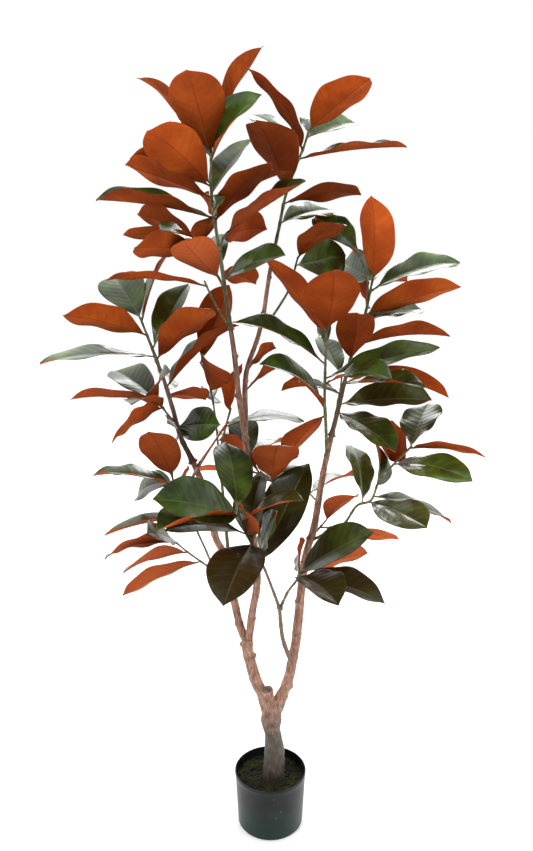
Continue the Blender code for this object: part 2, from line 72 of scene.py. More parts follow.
# The stump, its stub and the swelling under its fork: points on each middle line and the radius.
TRUNK = (
    (0.0065, 0.0, 0.075, 0.0245),
    (0.0075, 0.0, 0.115, 0.0232),
    (0.0085, 0.0, 0.150, 0.0218),
    (0.0065, 0.0, 0.185, 0.0195),
    (0.0020, 0.0, 0.215, 0.0165),
    (0.0030, 0.0, 0.244, 0.0215),
    (0.0030, 0.0, 0.258, 0.0165),
)
STUB = (
    (0.0000, -0.002, 0.240, 0.0125),
    (-0.0070, -0.012, 0.302, 0.0120),
)
CROTCH = (
    (0.002, 0.0, 0.215, 0.017),
    (0.003, -0.001, 0.246, 0.0205),
    (0.003, -0.001, 0.266, 0.0165),
)
# Each limb: its radius at the start and at the end, and its route.
LIMBS = {
    "left_limb": (0.0125, 0.0105, (
        (-0.002, 0.0, 0.240), (-0.013, 0.0, 0.279), (-0.027, -0.005, 0.310),
        (-0.037, -0.010, 0.347), (-0.045, -0.010, 0.382), (-0.046, -0.010, 0.410),
    )),
    "left_stem": (0.0082, 0.0058, (
        (-0.048, -0.009, 0.403), (-0.060, 0.0, 0.430), (-0.069, 0.010, 0.466),
        (-0.081, 0.020, 0.511), (-0.093, 0.030, 0.570), (-0.109, 0.030, 0.606),
        (-0.119, 0.020, 0.663), (-0.131, 0.010, 0.719), (-0.148, 0.0, 0.769),
    )),
    "left_shoot": (0.0055, 0.002, (
        (-0.148, 0.0, 0.769), (-0.169, -0.010, 0.819), (-0.182, -0.018, 0.875),
        (-0.195, -0.020, 0.923), (-0.207, -0.030, 0.965), (-0.222, -0.035, 1.010),
        (-0.233, -0.040, 1.043),
    )),
    "back_stem": (0.0045, 0.002, (
        (-0.077, 0.017, 0.495), (-0.085, 0.060, 0.548), (-0.092, 0.078, 0.620),
        (-0.098, 0.085, 0.690), (-0.104, 0.085, 0.753), (-0.091, 0.075, 0.817),
        (-0.078, 0.062, 0.863),
    )),
    "middle_limb": (0.0078, 0.0045, (
        (-0.044, -0.010, 0.403), (-0.035, -0.010, 0.471), (-0.027, -0.010, 0.517),
        (-0.027, 0.0, 0.561), (-0.034, 0.010, 0.619), (-0.040, 0.018, 0.679),
        (-0.041, 0.020, 0.728), (-0.046, 0.020, 0.788), (-0.052, 0.014, 0.838),
        (-0.060, 0.006, 0.900), (-0.066, -0.002, 0.960), (-0.073, -0.010, 1.019),
    )),
    "middle_shoot": (0.0042, 0.002, (
        (-0.073, -0.010, 1.019), (-0.082, -0.010, 1.085), (-0.091, -0.010, 1.152),
        (-0.099, -0.010, 1.205), (-0.105, -0.015, 1.263), (-0.104, -0.020, 1.332),
    )),
    "crown_limb": (0.0055, 0.0035, (
        (-0.049, 0.018, 0.800), (-0.049, 0.032, 0.850), (-0.049, 0.036, 0.913),
        (-0.043, 0.036, 0.950), (-0.026, 0.040, 0.998), (-0.014, 0.043, 1.045),
        (-0.005, 0.050, 1.104), (0.003, 0.055, 1.150),
    )),
    "crown_shoot": (0.0034, 0.0018, (
        (0.003, 0.055, 1.150), (0.016, 0.050, 1.208), (0.026, 0.045, 1.257),
        (0.041, 0.038, 1.300), (0.058, 0.030, 1.341), (0.069, 0.020, 1.373),
    )),
    "right_limb": (0.0115, 0.005, (
        (0.006, 0.0, 0.240), (0.026, 0.0, 0.286), (0.038, 0.0, 0.323),
        (0.046, 0.005, 0.365), (0.052, 0.010, 0.400), (0.058, 0.015, 0.460),
        (0.063, 0.020, 0.515), (0.072, 0.020, 0.580), (0.085, 0.015, 0.632),
        (0.094, 0.010, 0.695), (0.102, 0.005, 0.752), (0.115, 0.0, 0.820),
    )),
    "right_shoot": (0.0048, 0.002, (
        (0.115, 0.0, 0.820), (0.127, 0.0, 0.872), (0.140, 0.010, 0.925),
        (0.151, 0.020, 0.965), (0.165, 0.030, 1.004), (0.179, 0.037, 1.050),
        (0.192, 0.045, 1.113),
    )),
    "green_shoot": (0.0034, 0.002, (
        (0.107, 0.003, 0.780), (0.102, -0.030, 0.837), (0.097, -0.050, 0.896),
        (0.096, -0.062, 0.955), (0.096, -0.070, 1.022),
    )),
    "front_twig": (0.0048, 0.0035, (
        (0.045, 0.004, 0.350), (0.032, -0.022, 0.390), (0.022, -0.035, 0.433),
        (0.016, -0.060, 0.503),
    )),
    "front_left_twig": (0.003, 0.0018, (
        (0.016, -0.060, 0.500), (0.002, -0.078, 0.548), (-0.011, -0.090, 0.588),
        (-0.026, -0.102, 0.628), (-0.044, -0.113, 0.665), (-0.061, -0.120, 0.715),
    )),
    "front_right_twig": (0.003, 0.0018, (
        (0.018, -0.058, 0.497), (0.032, -0.070, 0.536), (0.047, -0.080, 0.562),
        (0.053, -0.085, 0.582),
    )),
    "low_left_twig": (0.0025, 0.0016, (
        (-0.083, 0.022, 0.520), (-0.107, 0.0, 0.546), (-0.136, -0.020, 0.577),
        (-0.160, -0.040, 0.605), (-0.181, -0.050, 0.629),
    )),
    "left_twig": (0.0025, 0.0016, (
        (-0.082, 0.021, 0.512), (-0.096, -0.010, 0.538), (-0.111, -0.020, 0.565),
        (-0.128, -0.040, 0.619), (-0.150, -0.050, 0.674), (-0.169, -0.055, 0.710),
        (-0.182, -0.060, 0.761),
    )),
    "inner_twig": (0.0022, 0.0015, (
        (-0.104, 0.085, 0.752), (-0.109, 0.080, 0.826), (-0.115, 0.070, 0.880),
        (-0.124, 0.062, 0.925), (-0.137, 0.060, 0.954),
    )),
    "left_fork_twig": (0.002, 0.0015, (
        (-0.176, -0.014, 0.847), (-0.189, -0.030, 0.865), (-0.205, -0.050, 0.896),
    )),
    "centre_twig": (0.0025, 0.0016, (
        (-0.016, 0.042, 1.036), (0.0, 0.030, 1.040), (0.019, 0.010, 1.067),
        (0.034, -0.012, 1.096), (0.047, -0.040, 1.147),
    )),
    "upper_left_twig": (0.0022, 0.0015, (
        (-0.083, -0.010, 1.090), (-0.096, -0.030, 1.118), (-0.112, -0.052, 1.145),
        (-0.126, -0.070, 1.172),
    )),
    "mid_left_twig": (0.0022, 0.0015, (
        (-0.076, -0.010, 1.026), (-0.090, -0.032, 1.050), (-0.102, -0.052, 1.074),
        (-0.115, -0.070, 1.106),
    )),
    "right_twig": (0.003, 0.0016, (
        (0.078, 0.018, 0.603), (0.112, 0.0, 0.629), (0.140, -0.020, 0.652),
        (0.161, -0.040, 0.694), (0.186, -0.050, 0.708), (0.199, -0.050, 0.743),
        (0.226, -0.050, 0.777), (0.258, -0.050, 0.811),
    )),
    "short_right_twig": (0.002, 0.0015, (
        (0.079, 0.018, 0.610), (0.095, 0.021, 0.628), (0.110, 0.028, 0.643),
    )),
    "short_middle_twig": (0.0022, 0.0016, (
        (-0.042, 0.020, 0.746), (-0.022, 0.0, 0.745), (-0.005, -0.014, 0.738),
        (0.006, -0.020, 0.733),
    )),
    "back_right_twig": (0.002, 0.0015, (
        (0.184, 0.040, 1.075), (0.176, 0.020, 1.119), (0.161, 0.032, 1.161),
    )),
    "back_middle_twig": (0.002, 0.0015, (
        (0.093, 0.011, 0.685), (0.084, 0.030, 0.690), (0.077, 0.045, 0.694),
    )),
    "rear_middle_twig": (0.0024, 0.0016, (
        (-0.040, 0.018, 0.672), (-0.043, 0.055, 0.690), (-0.050, 0.085, 0.715),
        (-0.052, 0.105, 0.745),
    )),
    "rear_right_twig": (0.0024, 0.0016, (
        (0.124, 0.0, 0.862), (0.130, 0.040, 0.880), (0.138, 0.070, 0.900),
        (0.142, 0.090, 0.925),
    )),
    "crown_side_twig": (0.0022, 0.0015, (
        (-0.092, -0.010, 1.160), (-0.085, -0.020, 1.181), (-0.077, -0.030, 1.190),
    )),
}

# Leaves on each limb: share of the way along it, heading from +X and rise in degrees,
# roll about the midrib in degrees, length and width in metres.
LEAVES = {
    "left_shoot": (
        (0.22, -95, 20, -45, 0.110, 0.050), (0.26, -50, 10, 65, 0.140, 0.065),
        (0.48, 65, -12, -20, 0.140, 0.070), (0.50, 105, 15, 45, 0.130, 0.065),
        (0.53, 28, 39, -14, 0.185, 0.075), (0.74, -162, 0, -11, 0.200, 0.075),
        (0.72, -33, 35, -14, 0.160, 0.085), (0.79, 50, 52, 5, 0.150, 0.070),
        (0.88, -138, 14, 30, 0.165, 0.080), (0.97, 55, 60, -35, 0.150, 0.060),
        (1.0, 123, 33, -25, 0.150, 0.085),
    ),
    "back_stem": (
        (0.89, 15, 3, 5, 0.165, 0.075), (0.97, -50, 66, 20, 0.110, 0.055),
    ),
    "middle_shoot": (
        (0.29, -42, 15, 45, 0.150, 0.070), (0.33, 60, -10, -25, 0.120, 0.060),
        (0.36, 103, 24, -19, 0.140, 0.060), (0.62, 110, 34, 80, 0.090, 0.040),
        (0.6, -74, 31, 88, 0.075, 0.035), (0.61, -46, 30, 0, 0.165, 0.075),
        (0.63, -166, 7, -13, 0.205, 0.080), (0.65, 108, -23, -20, 0.110, 0.055),
        (0.67, -17, 25, 5, 0.155, 0.070), (0.74, 170, 20, 25, 0.170, 0.080),
        (0.76, 50, 44, -5, 0.165, 0.080), (0.81, -129, 25, 35, 0.160, 0.088),
        (0.8, 166, 21, 28, 0.160, 0.075), (0.93, -45, 36, 65, 0.150, 0.070),
        (0.95, 120, 35, -17, 0.150, 0.075), (0.97, -101, 37, 10, 0.165, 0.090),
        (1.0, 0, 63, -10, 0.190, 0.080), (1.0, 174, 46, 15, 0.175, 0.075),
    ),
    "crown_limb": (
        (0.28, 50, 18, -45, 0.150, 0.065), (0.38, 60, 21, -55, 0.120, 0.055),
    ),
    "crown_shoot": (
        (0.27, 43, 13, 26, 0.150, 0.070), (0.42, 22, 8, -20, 0.165, 0.075),
        (0.52, -111, 33, -8, 0.175, 0.092), (0.77, 0, 6, 12, 0.195, 0.065),
        (0.83, -135, 39, -18, 0.175, 0.055), (0.85, 138, 33, -12, 0.155, 0.075),
        (0.93, 43, 19, 30, 0.150, 0.065), (0.96, 82, 35, -13, 0.085, 0.032),
        (1.0, -54, 18, -10, 0.160, 0.080),
    ),
    "right_shoot": (
        (0.15, -55, -16, 10, 0.160, 0.075), (0.2, -13, 5, 29, 0.170, 0.088),
        (0.26, -160, 17, -15, 0.095, 0.045), (0.33, -35, 4, 10, 0.160, 0.080),
        (0.44, 0, -16, -20, 0.200, 0.080), (0.48, -92, 38, 2, 0.150, 0.070),
        (0.57, 0, 6, -20, 0.180, 0.080), (0.73, 31, 8, 27, 0.150, 0.070),
        (0.77, -15, 17, -30, 0.180, 0.085), (0.80, 95, 31, 80, 0.100, 0.050),
        (0.92, 0, 19, 25, 0.175, 0.085), (0.91, 49, 10, -25, 0.140, 0.060),
        (0.97, 66, 20, 12, 0.120, 0.060), (1, 110, 17, -59, 0.140, 0.078),
        (1.0, -101, 61, -35, 0.165, 0.080),
    ),
    "green_shoot": (
        (0.38, 125, -41, 0, 0.145, 0.075), (0.43, -147, 35, -31, 0.165, 0.080),
        (0.62, -48, 10, 20, 0.150, 0.070), (0.66, -13, 16, 22, 0.205, 0.080),
        (0.76, 180, 26, -19, 0.180, 0.075), (0.90, 111, 35, 35, 0.150, 0.070),
        (0.91, 70, 24, -45, 0.140, 0.065), (0.96, 180, 51, 25, 0.170, 0.080),
        (1.0, -90, 38, 0, 0.165, 0.090),
    ),
    "front_left_twig": (
        (0.48, 23, 62, 30, 0.200, 0.090), (0.55, -63, 55, 75, 0.130, 0.060),
        (0.66, 83, 48, -35, 0.140, 0.080), (0.68, -104, -15, 0, 0.175, 0.095),
        (0.75, -93, 43, -50, 0.110, 0.055), (0.77, -148, 14, -10, 0.160, 0.080),
        (0.87, -39, 28, 15, 0.150, 0.065), (0.92, -154, 20, -40, 0.165, 0.095),
        (0.94, -142, 2, 0, 0.165, 0.090), (1.0, 102, 37, 20, 0.160, 0.080),
    ),
    "front_right_twig": (
        (0.82, -16, -8, 10, 0.165, 0.080), (0.90, -66, 3, 5, 0.150, 0.080),
        (0.94, 27, 5, -50, 0.155, 0.070), (0.97, 83, 13, -80, 0.110, 0.050),
        (1.0, -26, 36, 35, 0.170, 0.085),
    ),
    "low_left_twig": (
        (0.53, -175, -24, 40, 0.165, 0.075), (0.77, -133, 3, 40, 0.150, 0.070),
        (0.96, -140, 4, 40, 0.150, 0.065), (1.0, -107, 27, -40, 0.120, 0.060),
    ),
    "left_twig": (
        (0.68, 180, -12, 5, 0.165, 0.070), (0.80, 18, 57, -15, 0.175, 0.070),
        (0.89, 89, 0, -40, 0.120, 0.055), (0.92, 180, 9, 0, 0.150, 0.070),
        (0.94, 137, -23, -45, 0.130, 0.065), (0.96, 91, 26, -65, 0.150, 0.065),
        (1, -107, 49, 15, 0.135, 0.070),
    ),
    "inner_twig": (
        (0.57, 105, 7, 40, 0.100, 0.050), (0.60, 84, 9, -45, 0.100, 0.045),
        (0.69, -88, 33, -35, 0.140, 0.070), (1.0, 0, 69, -50, 0.160, 0.075),
    ),
    "left_fork_twig": (
        (0.68, -106, 14, 5, 0.130, 0.060), (0.70, -117, -13, 50, 0.150, 0.070),
        (0.92, 180, 3, 20, 0.160, 0.075), (0.94, -70, 33, 55, 0.120, 0.055),
        (1, 132, 16, -18, 0.150, 0.075),
    ),
    "centre_twig": (
        (0.9, 48, 8, 76, 0.150, 0.075), (1.0, -59, 22, 0, 0.140, 0.070),
    ),
    "upper_left_twig": (
        (0.25, -111, 22, 19, 0.150, 0.075), (0.73, -128, 1, 34, 0.160, 0.075),
        (0.94, 180, 7, 15, 0.130, 0.065), (0.97, 147, 21, 44, 0.150, 0.065),
        (1, -111, 4, -35, 0.130, 0.050),
    ),
    "mid_left_twig": (
        (0.90, 186, 5, 10, 0.170, 0.066),
    ),
    "right_twig": (
        (0.51, 93, 38, 35, 0.145, 0.070), (0.55, -57, -3, 20, 0.150, 0.080),
        (0.60, 7, -19, 5, 0.165, 0.075), (0.66, 84, 25, 65, 0.140, 0.060),
        (0.84, -46, 1, 22, 0.160, 0.075), (0.96, 104, 0, 88, 0.150, 0.080),
        (0.98, -44, 5, -25, 0.150, 0.060), (1, 63, 27, -10, 0.140, 0.080),
    ),
    "short_right_twig": (
        (0.60, 10, -13, -30, 0.170, 0.075), (1.0, -57, 40, -10, 0.120, 0.060),
    ),
    "short_middle_twig": (
        (0.5, 126, 18, 60, 0.150, 0.065), (0.86, 82, 10, -10, 0.130, 0.065),
        (1.0, -86, 38, 0, 0.165, 0.085),
    ),
    "back_right_twig": (
        (0.89, 108, 22, 60, 0.110, 0.055), (1, 134, 33, -29, 0.130, 0.068),
    ),
    "back_middle_twig": (
        (1.0, 43, 7, -15, 0.140, 0.065),
    ),
    "rear_middle_twig": (
        (0.60, 20, 5, 20, 0.130, 0.065), (0.75, 140, -5, 10, 0.140, 0.070),
        (0.90, 55, 12, -10, 0.140, 0.070), (0.93, 112, 15, 15, 0.150, 0.075),
        (1.0, 95, 42, 5, 0.130, 0.065),
    ),
    "rear_right_twig": (
        (0.60, 150, 0, 10, 0.130, 0.065), (0.80, 20, 0, -15, 0.140, 0.070),
        (0.95, 70, 10, 0, 0.150, 0.075), (1.0, 110, 35, 10, 0.130, 0.065),
    ),
    "crown_side_twig": (
        (0.6, 56, 11, -55, 0.140, 0.070), (1, -37, 23, 25, 0.180, 0.090),
    ),
}
# Leaves made darker (tone below 0) or brighter (above 0), partly their own colour and partly
# painted shade, painted light and painted sheen, with more wax than 1 or less, browner with age,
# or bent in a way of their own.
SINGLED_OUT = {
    "middle_shoot": {
        3: {"tone": -0.5}, 5: {"tone": -0.5},
        6: {"fold": 0.6, "twist": 0.0, "bow": 0.03, "hook": 0.0, "tone": -0.3},
        8: {"tone": -0.6}, 9: {"tone": -0.1}, 10: {"wax": 0.7, "tone": 0.3}, 12: {"tone": -0.2},
        13: {"tone": 0.8}, 14: {"wax": 0.3, "tone": -0.2},
        11: {"tone": 0.6, "fullness": 1.1, "twist": -6.0, "fold": 0.2},
        15: {"tone": 0.1, "fold": 0.22}, 16: {"tone": -0.1},
    },
    "back_stem": {0: {"wax": 0.4, "tone": 0.5}},
    "crown_shoot": {
        0: {"twist": 0.0, "tone": 1.0, "wax": 0.7}, 5: {"tone": 1.0, "wax": 0.7},
        1: {"tone": -0.75, "fullness": 1.0},
        2: {"tone": -0.85, "fullness": 1.0, "twist": 10.0, "lean": -0.02},
        3: {"tone": -0.4, "fold": 0.5, "twist": 0.0, "bow": 0.03, "hook": 0.0},
        4: {"tone": -0.5, "bow": 0.06, "fullness": 0.85, "lean": 0.075},
        6: {"twist": 0.0, "tone": 1.2, "wax": 0.8}, 8: {"tone": 0.7, "fold": 0.35},
    },
    "back_right_twig": {1: {"wax": 1.6, "tone": 0.4}},
    "crown_side_twig": {1: {"fold": 0.4, "twist": 0.0, "bow": 0.012, "hook": -0.01, "tone": -0.45}},
    "centre_twig": {0: {"tone": 0.1, "twist": 0.0}, 1: {"tone": -0.7, "fullness": 1.1}},
    "right_shoot": {
        1: {"aged": 0.7, "tone": 2.4, "fullness": 1.1, "wax": 0.8}, 3: {"tone": 0.4},
        5: {"tone": -0.4, "fullness": 0.92, "fold": 0.35, "twist": 0.0},
        6: {"tone": -0.2}, 7: {"twist": 0.0, "wax": 1.3, "tone": 1.2},
        8: {"tone": 0.1, "fullness": 0.9},
        10: {"twist": 5.0, "tone": 1.0}, 11: {"tone": -0.4}, 13: {"twist": 0.0, "tone": 0.2},
        14: {"tone": 1.5, "fullness": 0.9, "fold": 0.42, "twist": 0.0},
    },
    "green_shoot": {
        1: {"fold": 0.55, "twist": 0.0}, 3: {"twist": 0.0}, 4: {"twist": 6.0}, 7: {"tone": 0.0},
        8: {"tone": -0.35, "fold": 0.3, "twist": 0.0},
    },
    "left_shoot": {
        4: {"tone": -0.2, "fold": 0.6, "twist": 0.0}, 5: {"wax": 2.2, "tone": 0.9, "aged": 0.0},
        6: {"tone": -0.4},
        7: {"tone": 1.8, "wax": 2.4},
        10: {"twist": 4.0},
    },
    "left_twig": {
        0: {"fold": 0.45, "twist": 0.0}, 3: {"fold": 0.5, "twist": 0.0},
        6: {"tone": -0.6, "fullness": 0.85, "fold": 0.2},
    },
    "inner_twig": {2: {"tone": -0.4}, 3: {"tone": -0.3}},
    "upper_left_twig": {
        0: {"tone": 0.4, "aged": 0.7, "fullness": 1.1}, 3: {"tone": -0.4},
        4: {"tone": -0.7, "twist": 0.0},
    },
    "front_right_twig": {
        0: {"tone": -0.2, "wax": 0.6}, 1: {"tone": -0.3, "wax": 0.6},
        4: {"wax": 0.6, "tone": 0.1, "aged": 0.4},
    },
    "front_left_twig": {
        0: {"wax": 0.4, "tone": -0.4}, 1: {"wax": 0.8, "tone": 0.7, "aged": 0.0},
        2: {"wax": 0.5, "tone": -0.3}, 3: {"fullness": 0.9, "wax": 0.5, "tone": -0.5, "aged": 1.0},
        5: {"twist": -10.0, "tone": 0.9, "fold": 0.12, "wax": 0.2, "aged": 0.1},
        7: {"wax": 0.15, "tone": 0.3, "aged": 0.1},
        8: {"fold": 0.7, "twist": 0.0, "wax": 0.3, "aged": 0.2},
        9: {"wax": 0.3, "tone": 0.4, "aged": 0.0},
    },
    "right_twig": {
        0: {"tone": 1.6, "aged": 0.0, "wax": 2.4, "fold": 0.2},
        4: {"tone": 1.6, "aged": 0.1, "wax": 2.6},
        6: {"wax": 1.2},
        7: {
            "fullness": 1.2, "twist": 0.0, "tone": 0.8, "fold": 0.12, "wax": 0.4, "aged": 0.0,
            "hook": -0.02,
        },
        1: {"wax": 1.8, "tone": 0.5},
    },
    "short_middle_twig": {2: {"tone": 0.0, "fullness": 1.15}},
}
WOODY = ("left_limb", "left_stem", "middle_limb", "crown_limb", "right_limb")
BARKY = {
    "front_twig": 1.0, "low_left_twig": 1.1, "front_left_twig": 0.9, "short_middle_twig": 0.8,
    "left_shoot": 1.0, "right_shoot": 0.7,
}

# Knots and pruned stubs on the bare limbs: share of the way along, turn round the limb in
# degrees, how far it stands out in millimetres and how wide it is in millimetres.
KNOTS = {
    "left_limb": (
        (0.25, 20, 3.0, 7), (0.52, 200, 4.0, 7), (0.78, 330, 4.5, 7), (0.93, 120, 5.0, 8),
    ),
    "left_stem": (
        (0.10, 190, 4.0, 6), (0.24, 20, 3.0, 5), (0.41, 240, 3.5, 5), (0.58, 100, 2.6, 5),
        (0.72, 300, 3.0, 5), (0.88, 180, 2.5, 4),
    ),
    "middle_limb": (
        (0.08, 0, 3.0, 6), (0.2, 170, 2.6, 5), (0.36, 300, 3.0, 5), (0.50, 60, 3.4, 6),
        (0.66, 250, 4.0, 7), (0.69, 40, 3.6, 6), (0.80, 150, 2.5, 5), (0.92, 320, 2.5, 5),
    ),
    "crown_limb": (
        (0.12, 90, 2.2, 5), (0.34, 260, 3.0, 5), (0.55, 20, 2.4, 4), (0.71, 190, 3.2, 4),
        (0.90, 300, 2.0, 4),
    ),
    "right_limb": (
        (0.12, 300, 3.5, 8), (0.22, 30, 5.0, 8), (0.30, 200, 3.6, 7), (0.41, 100, 3.2, 7),
        (0.55, 320, 3.6, 6), (0.64, 170, 3.0, 6), (0.76, 20, 3.4, 5), (0.87, 240, 2.6, 5),
    ),
}

# Limbs whose stems are wound together: from, to, how deep in millimetres, and turns.
STRANDS = {
    "middle_limb": (0.30, 0.86, 2.6, 1.4),
    "left_stem": (0.05, 0.45, 1.2, 0.8),
}


# ---- nodes and colours ---------------------------------------------------------------------
def linear(hex_colour):
    """An sRGB hex colour as linear red, green, blue and alpha."""
    values = []
    for start in (0, 2, 4):
        value = int(hex_colour[start:start + 2], 16) / 255.0
        if value <= 0.04045:
            values.append(value / 12.92)
        else:
            values.append(((value + 0.055) / 1.055) ** 2.4)
    return (*values, 1.0)


def add(tree, kind, inputs=None, stops=None, **settings):
    """One node with its settings, its inputs set or linked, and a colour ramp's stops."""
    made = tree.nodes.new(kind)
    for name, value in settings.items():
        setattr(made, name, value)
    for name, value in (inputs or {}).items():
        if isinstance(value, bpy.types.NodeSocket):
            tree.links.new(value, made.inputs[name])
        else:
            made.inputs[name].default_value = value
    if stops:
        ramp = made.color_ramp
        while len(ramp.elements) < len(stops):
            ramp.elements.new(0.5)
        for element, (place, colour) in zip(ramp.elements, stops):
            element.position = place
            element.color = linear(colour)
    return made


def maths(tree, operation, *values):
    """One sum on plain or linked values."""
    return add(tree, "ShaderNodeMath", dict(enumerate(values)), operation=operation).outputs[0]


def remap(tree, value, low=0.0, high=1.0, start=0.0, end=1.0, **settings):
    """A value between low and high as its place between start and end."""
    spans = {"Value": value, "From Min": low, "From Max": high, "To Min": start, "To Max": end}
    return add(tree, "ShaderNodeMapRange", spans, **settings).outputs[0]


def blend(tree, share, under, over, **settings):
    """A share of one colour laid over another."""
    colours = {0: share, 6: under, 7: over}
    return add(tree, "ShaderNodeMix", colours, data_type="RGBA", **settings).outputs[2]


def clouds(tree, place, scale, detail, roughness=0.5):
    """Soft noise: a greater scale makes it finer."""
    shape = {"Vector": place, "Scale": scale, "Detail": detail, "Roughness": roughness}
    return add(tree, "ShaderNodeTexNoise", shape).outputs[0]


def emboss(tree, height, strength, distance, normal=None):
    """Relief in the surface's normal, on top of an earlier relief if there is one."""
    shape = {"Height": height, "Strength": strength, "Distance": distance}
    if normal:
        shape["Normal"] = normal
    return add(tree, "ShaderNodeBump", shape).outputs[0]


def ramp(tree, share, *stops):
    """A colour that runs through the stops as the share goes from 0 to 1."""
    return add(tree, "ShaderNodeValToRGB", {0: share}, stops=stops).outputs[0]


def stretched(tree, place, share):
    """The object's own coordinates, drawn out along Z: a smaller share makes longer streaks."""
    shape = {"Vector": place, "Scale": (1.0, 1.0, share)}
    return add(tree, "ShaderNodeMapping", shape).outputs[0]


def new_material(name, **shader_values):
    """A material with its shader's own sockets set, and its node tree."""
    made = bpy.data.materials.new(name)
    made.use_nodes = True
    shader = made.node_tree.nodes["Principled BSDF"]
    for socket, value in shader_values.items():
        shader.inputs[socket.replace("_", " ")].default_value = value
    return made, made.node_tree, shader


def leaf_veins(tree, pairs):
    """Side veins that leave the midrib and bend towards the tip, from the leaf's own map.

    Gives how far a spot is from the nearest side vein (0 on it, 1 between two), the midrib's
    mask, and the share of the way from foot to tip.
    """
    leaf_map = add(tree, "ShaderNodeUVMap", uv_map="leaf_map")
    parts = add(tree, "ShaderNodeSeparateXYZ", {0: leaf_map.outputs[0]})
    across = maths(tree, "MULTIPLY_ADD", parts.outputs[0], 2.0, -1.0)
    side = maths(tree, "ABSOLUTE", across)
    bent = maths(tree, "POWER", side, 1.35)
    slant = maths(tree, "MULTIPLY", bent, -0.17 * pairs)
    phase = maths(tree, "MULTIPLY_ADD", parts.outputs[1], float(pairs), slant)
    fold = maths(tree, "PINGPONG", phase, 0.5)
    between = remap(tree, fold, high=0.5, interpolation_type="SMOOTHSTEP")
    midrib = remap(
        tree, side, low=0.01, high=0.06, start=1.0, end=0.0, interpolation_type="SMOOTHSTEP"
    )
    return between, midrib, parts.outputs[1]


def own_value(tree, name):
    """A value that each leaf or stem carries in its mesh."""
    return add(tree, "ShaderNodeAttribute", attribute_name=name).outputs["Fac"]


def leaf_dye_and_painted_light(tree, dark, bright):
    """A leaf darker or brighter by its own tone: partly its own colour, partly painted shade, painted
    light and painted sheen.
    """
    tone = own_value(tree, "leaf_tone")
    return remap(tree, tone, low=-1.0, high=1.0, start=dark, end=bright, clamp=False)


def leaf_layers(tree, ground, veins, old, vein, rib, stalk):
    """A leaf's ground colour, browner with age, with its side veins, midrib and stalk laid over it.

    old is the colour of an old leaf. vein is a side vein's width, strength and colour, rib the
    midrib's strength and colour, and stalk the stalk's length and colour.
    """
    between, midrib, along = veins
    aged = blend(tree, own_value(tree, "leaf_age"), ground, linear(old))
    width, strength, colour = vein
    vein_line = remap(tree, between, high=width, start=strength, end=0.0)
    veined = blend(tree, vein_line, aged, linear(colour))
    strength, colour = rib
    ribbed = blend(tree, maths(tree, "MULTIPLY", midrib, strength), veined, linear(colour))
    length, colour = stalk
    stalk_line = remap(tree, along, high=length, start=1.0, end=0.0)
    return blend(tree, stalk_line, ribbed, linear(colour))


def upper_leaf():
    """Printed polyester with a wax coat: dark green, browner at its foot, shiny at a glance."""
    made, tree, shader = new_material(
        "waxed_printed_leaf_upper",
        IOR=1.5, Specular_IOR_Level=0.16, Coat_Roughness=0.16, Coat_IOR=1.5,
    )
    between, midrib, along = leaf_veins(tree, VEIN_PAIRS)
    place = add(tree, "ShaderNodeTexCoord").outputs["Object"]
    # Uneven print, in patches some 35 mm across.
    patches = clouds(tree, place, 28.0, 3.0)
    green = ramp(tree, patches, (0.32, "19260A"), (0.5, "283C0E"), (0.7, "41561A"))
    foot = remap(tree, along, high=0.7, start=0.55, end=0.0)
    browner = blend(tree, foot, green, linear("22220C"))
    layered = leaf_layers(
        tree, browner, (between, midrib, along),
        old="2C240C", vein=(0.25, 0.08, "56683A"), rib=(0.24, "667A48"), stalk=(0.07, "63613A"),
    )
    # Each leaf's tone darkens or brightens it: partly its own colour, partly painted shade, painted
    # light and painted sheen.
    dyed_and_painted_light = blend(tree, 1.0, layered, leaf_dye_and_painted_light(tree, 0.6, 1.6), blend_type="MULTIPLY")
    tree.links.new(dyed_and_painted_light, shader.inputs["Base Color"])
    # The wax is a little streaky.
    streaks = clouds(tree, place, 90.0, 4.0)
    polish = remap(tree, streaks, start=0.22, end=0.42)
    tree.links.new(polish, shader.inputs["Roughness"])
    # Some leaves took more wax than others, and shine more.
    coat = maths(tree, "MULTIPLY", own_value(tree, "leaf_wax"), 0.28)
    tree.links.new(coat, shader.inputs["Coat Weight"])
    # The woven cloth under the print shows as a fine grain of 1.5 mm, coarser than the real weave.
    grain = clouds(tree, place, 650.0, 2.0)
    quilt = emboss(tree, between, 0.5, 0.5 * MM)
    fine = emboss(tree, grain, 0.3, 0.12 * MM, normal=quilt)
    tree.links.new(fine, shader.inputs["Normal"])
    return made


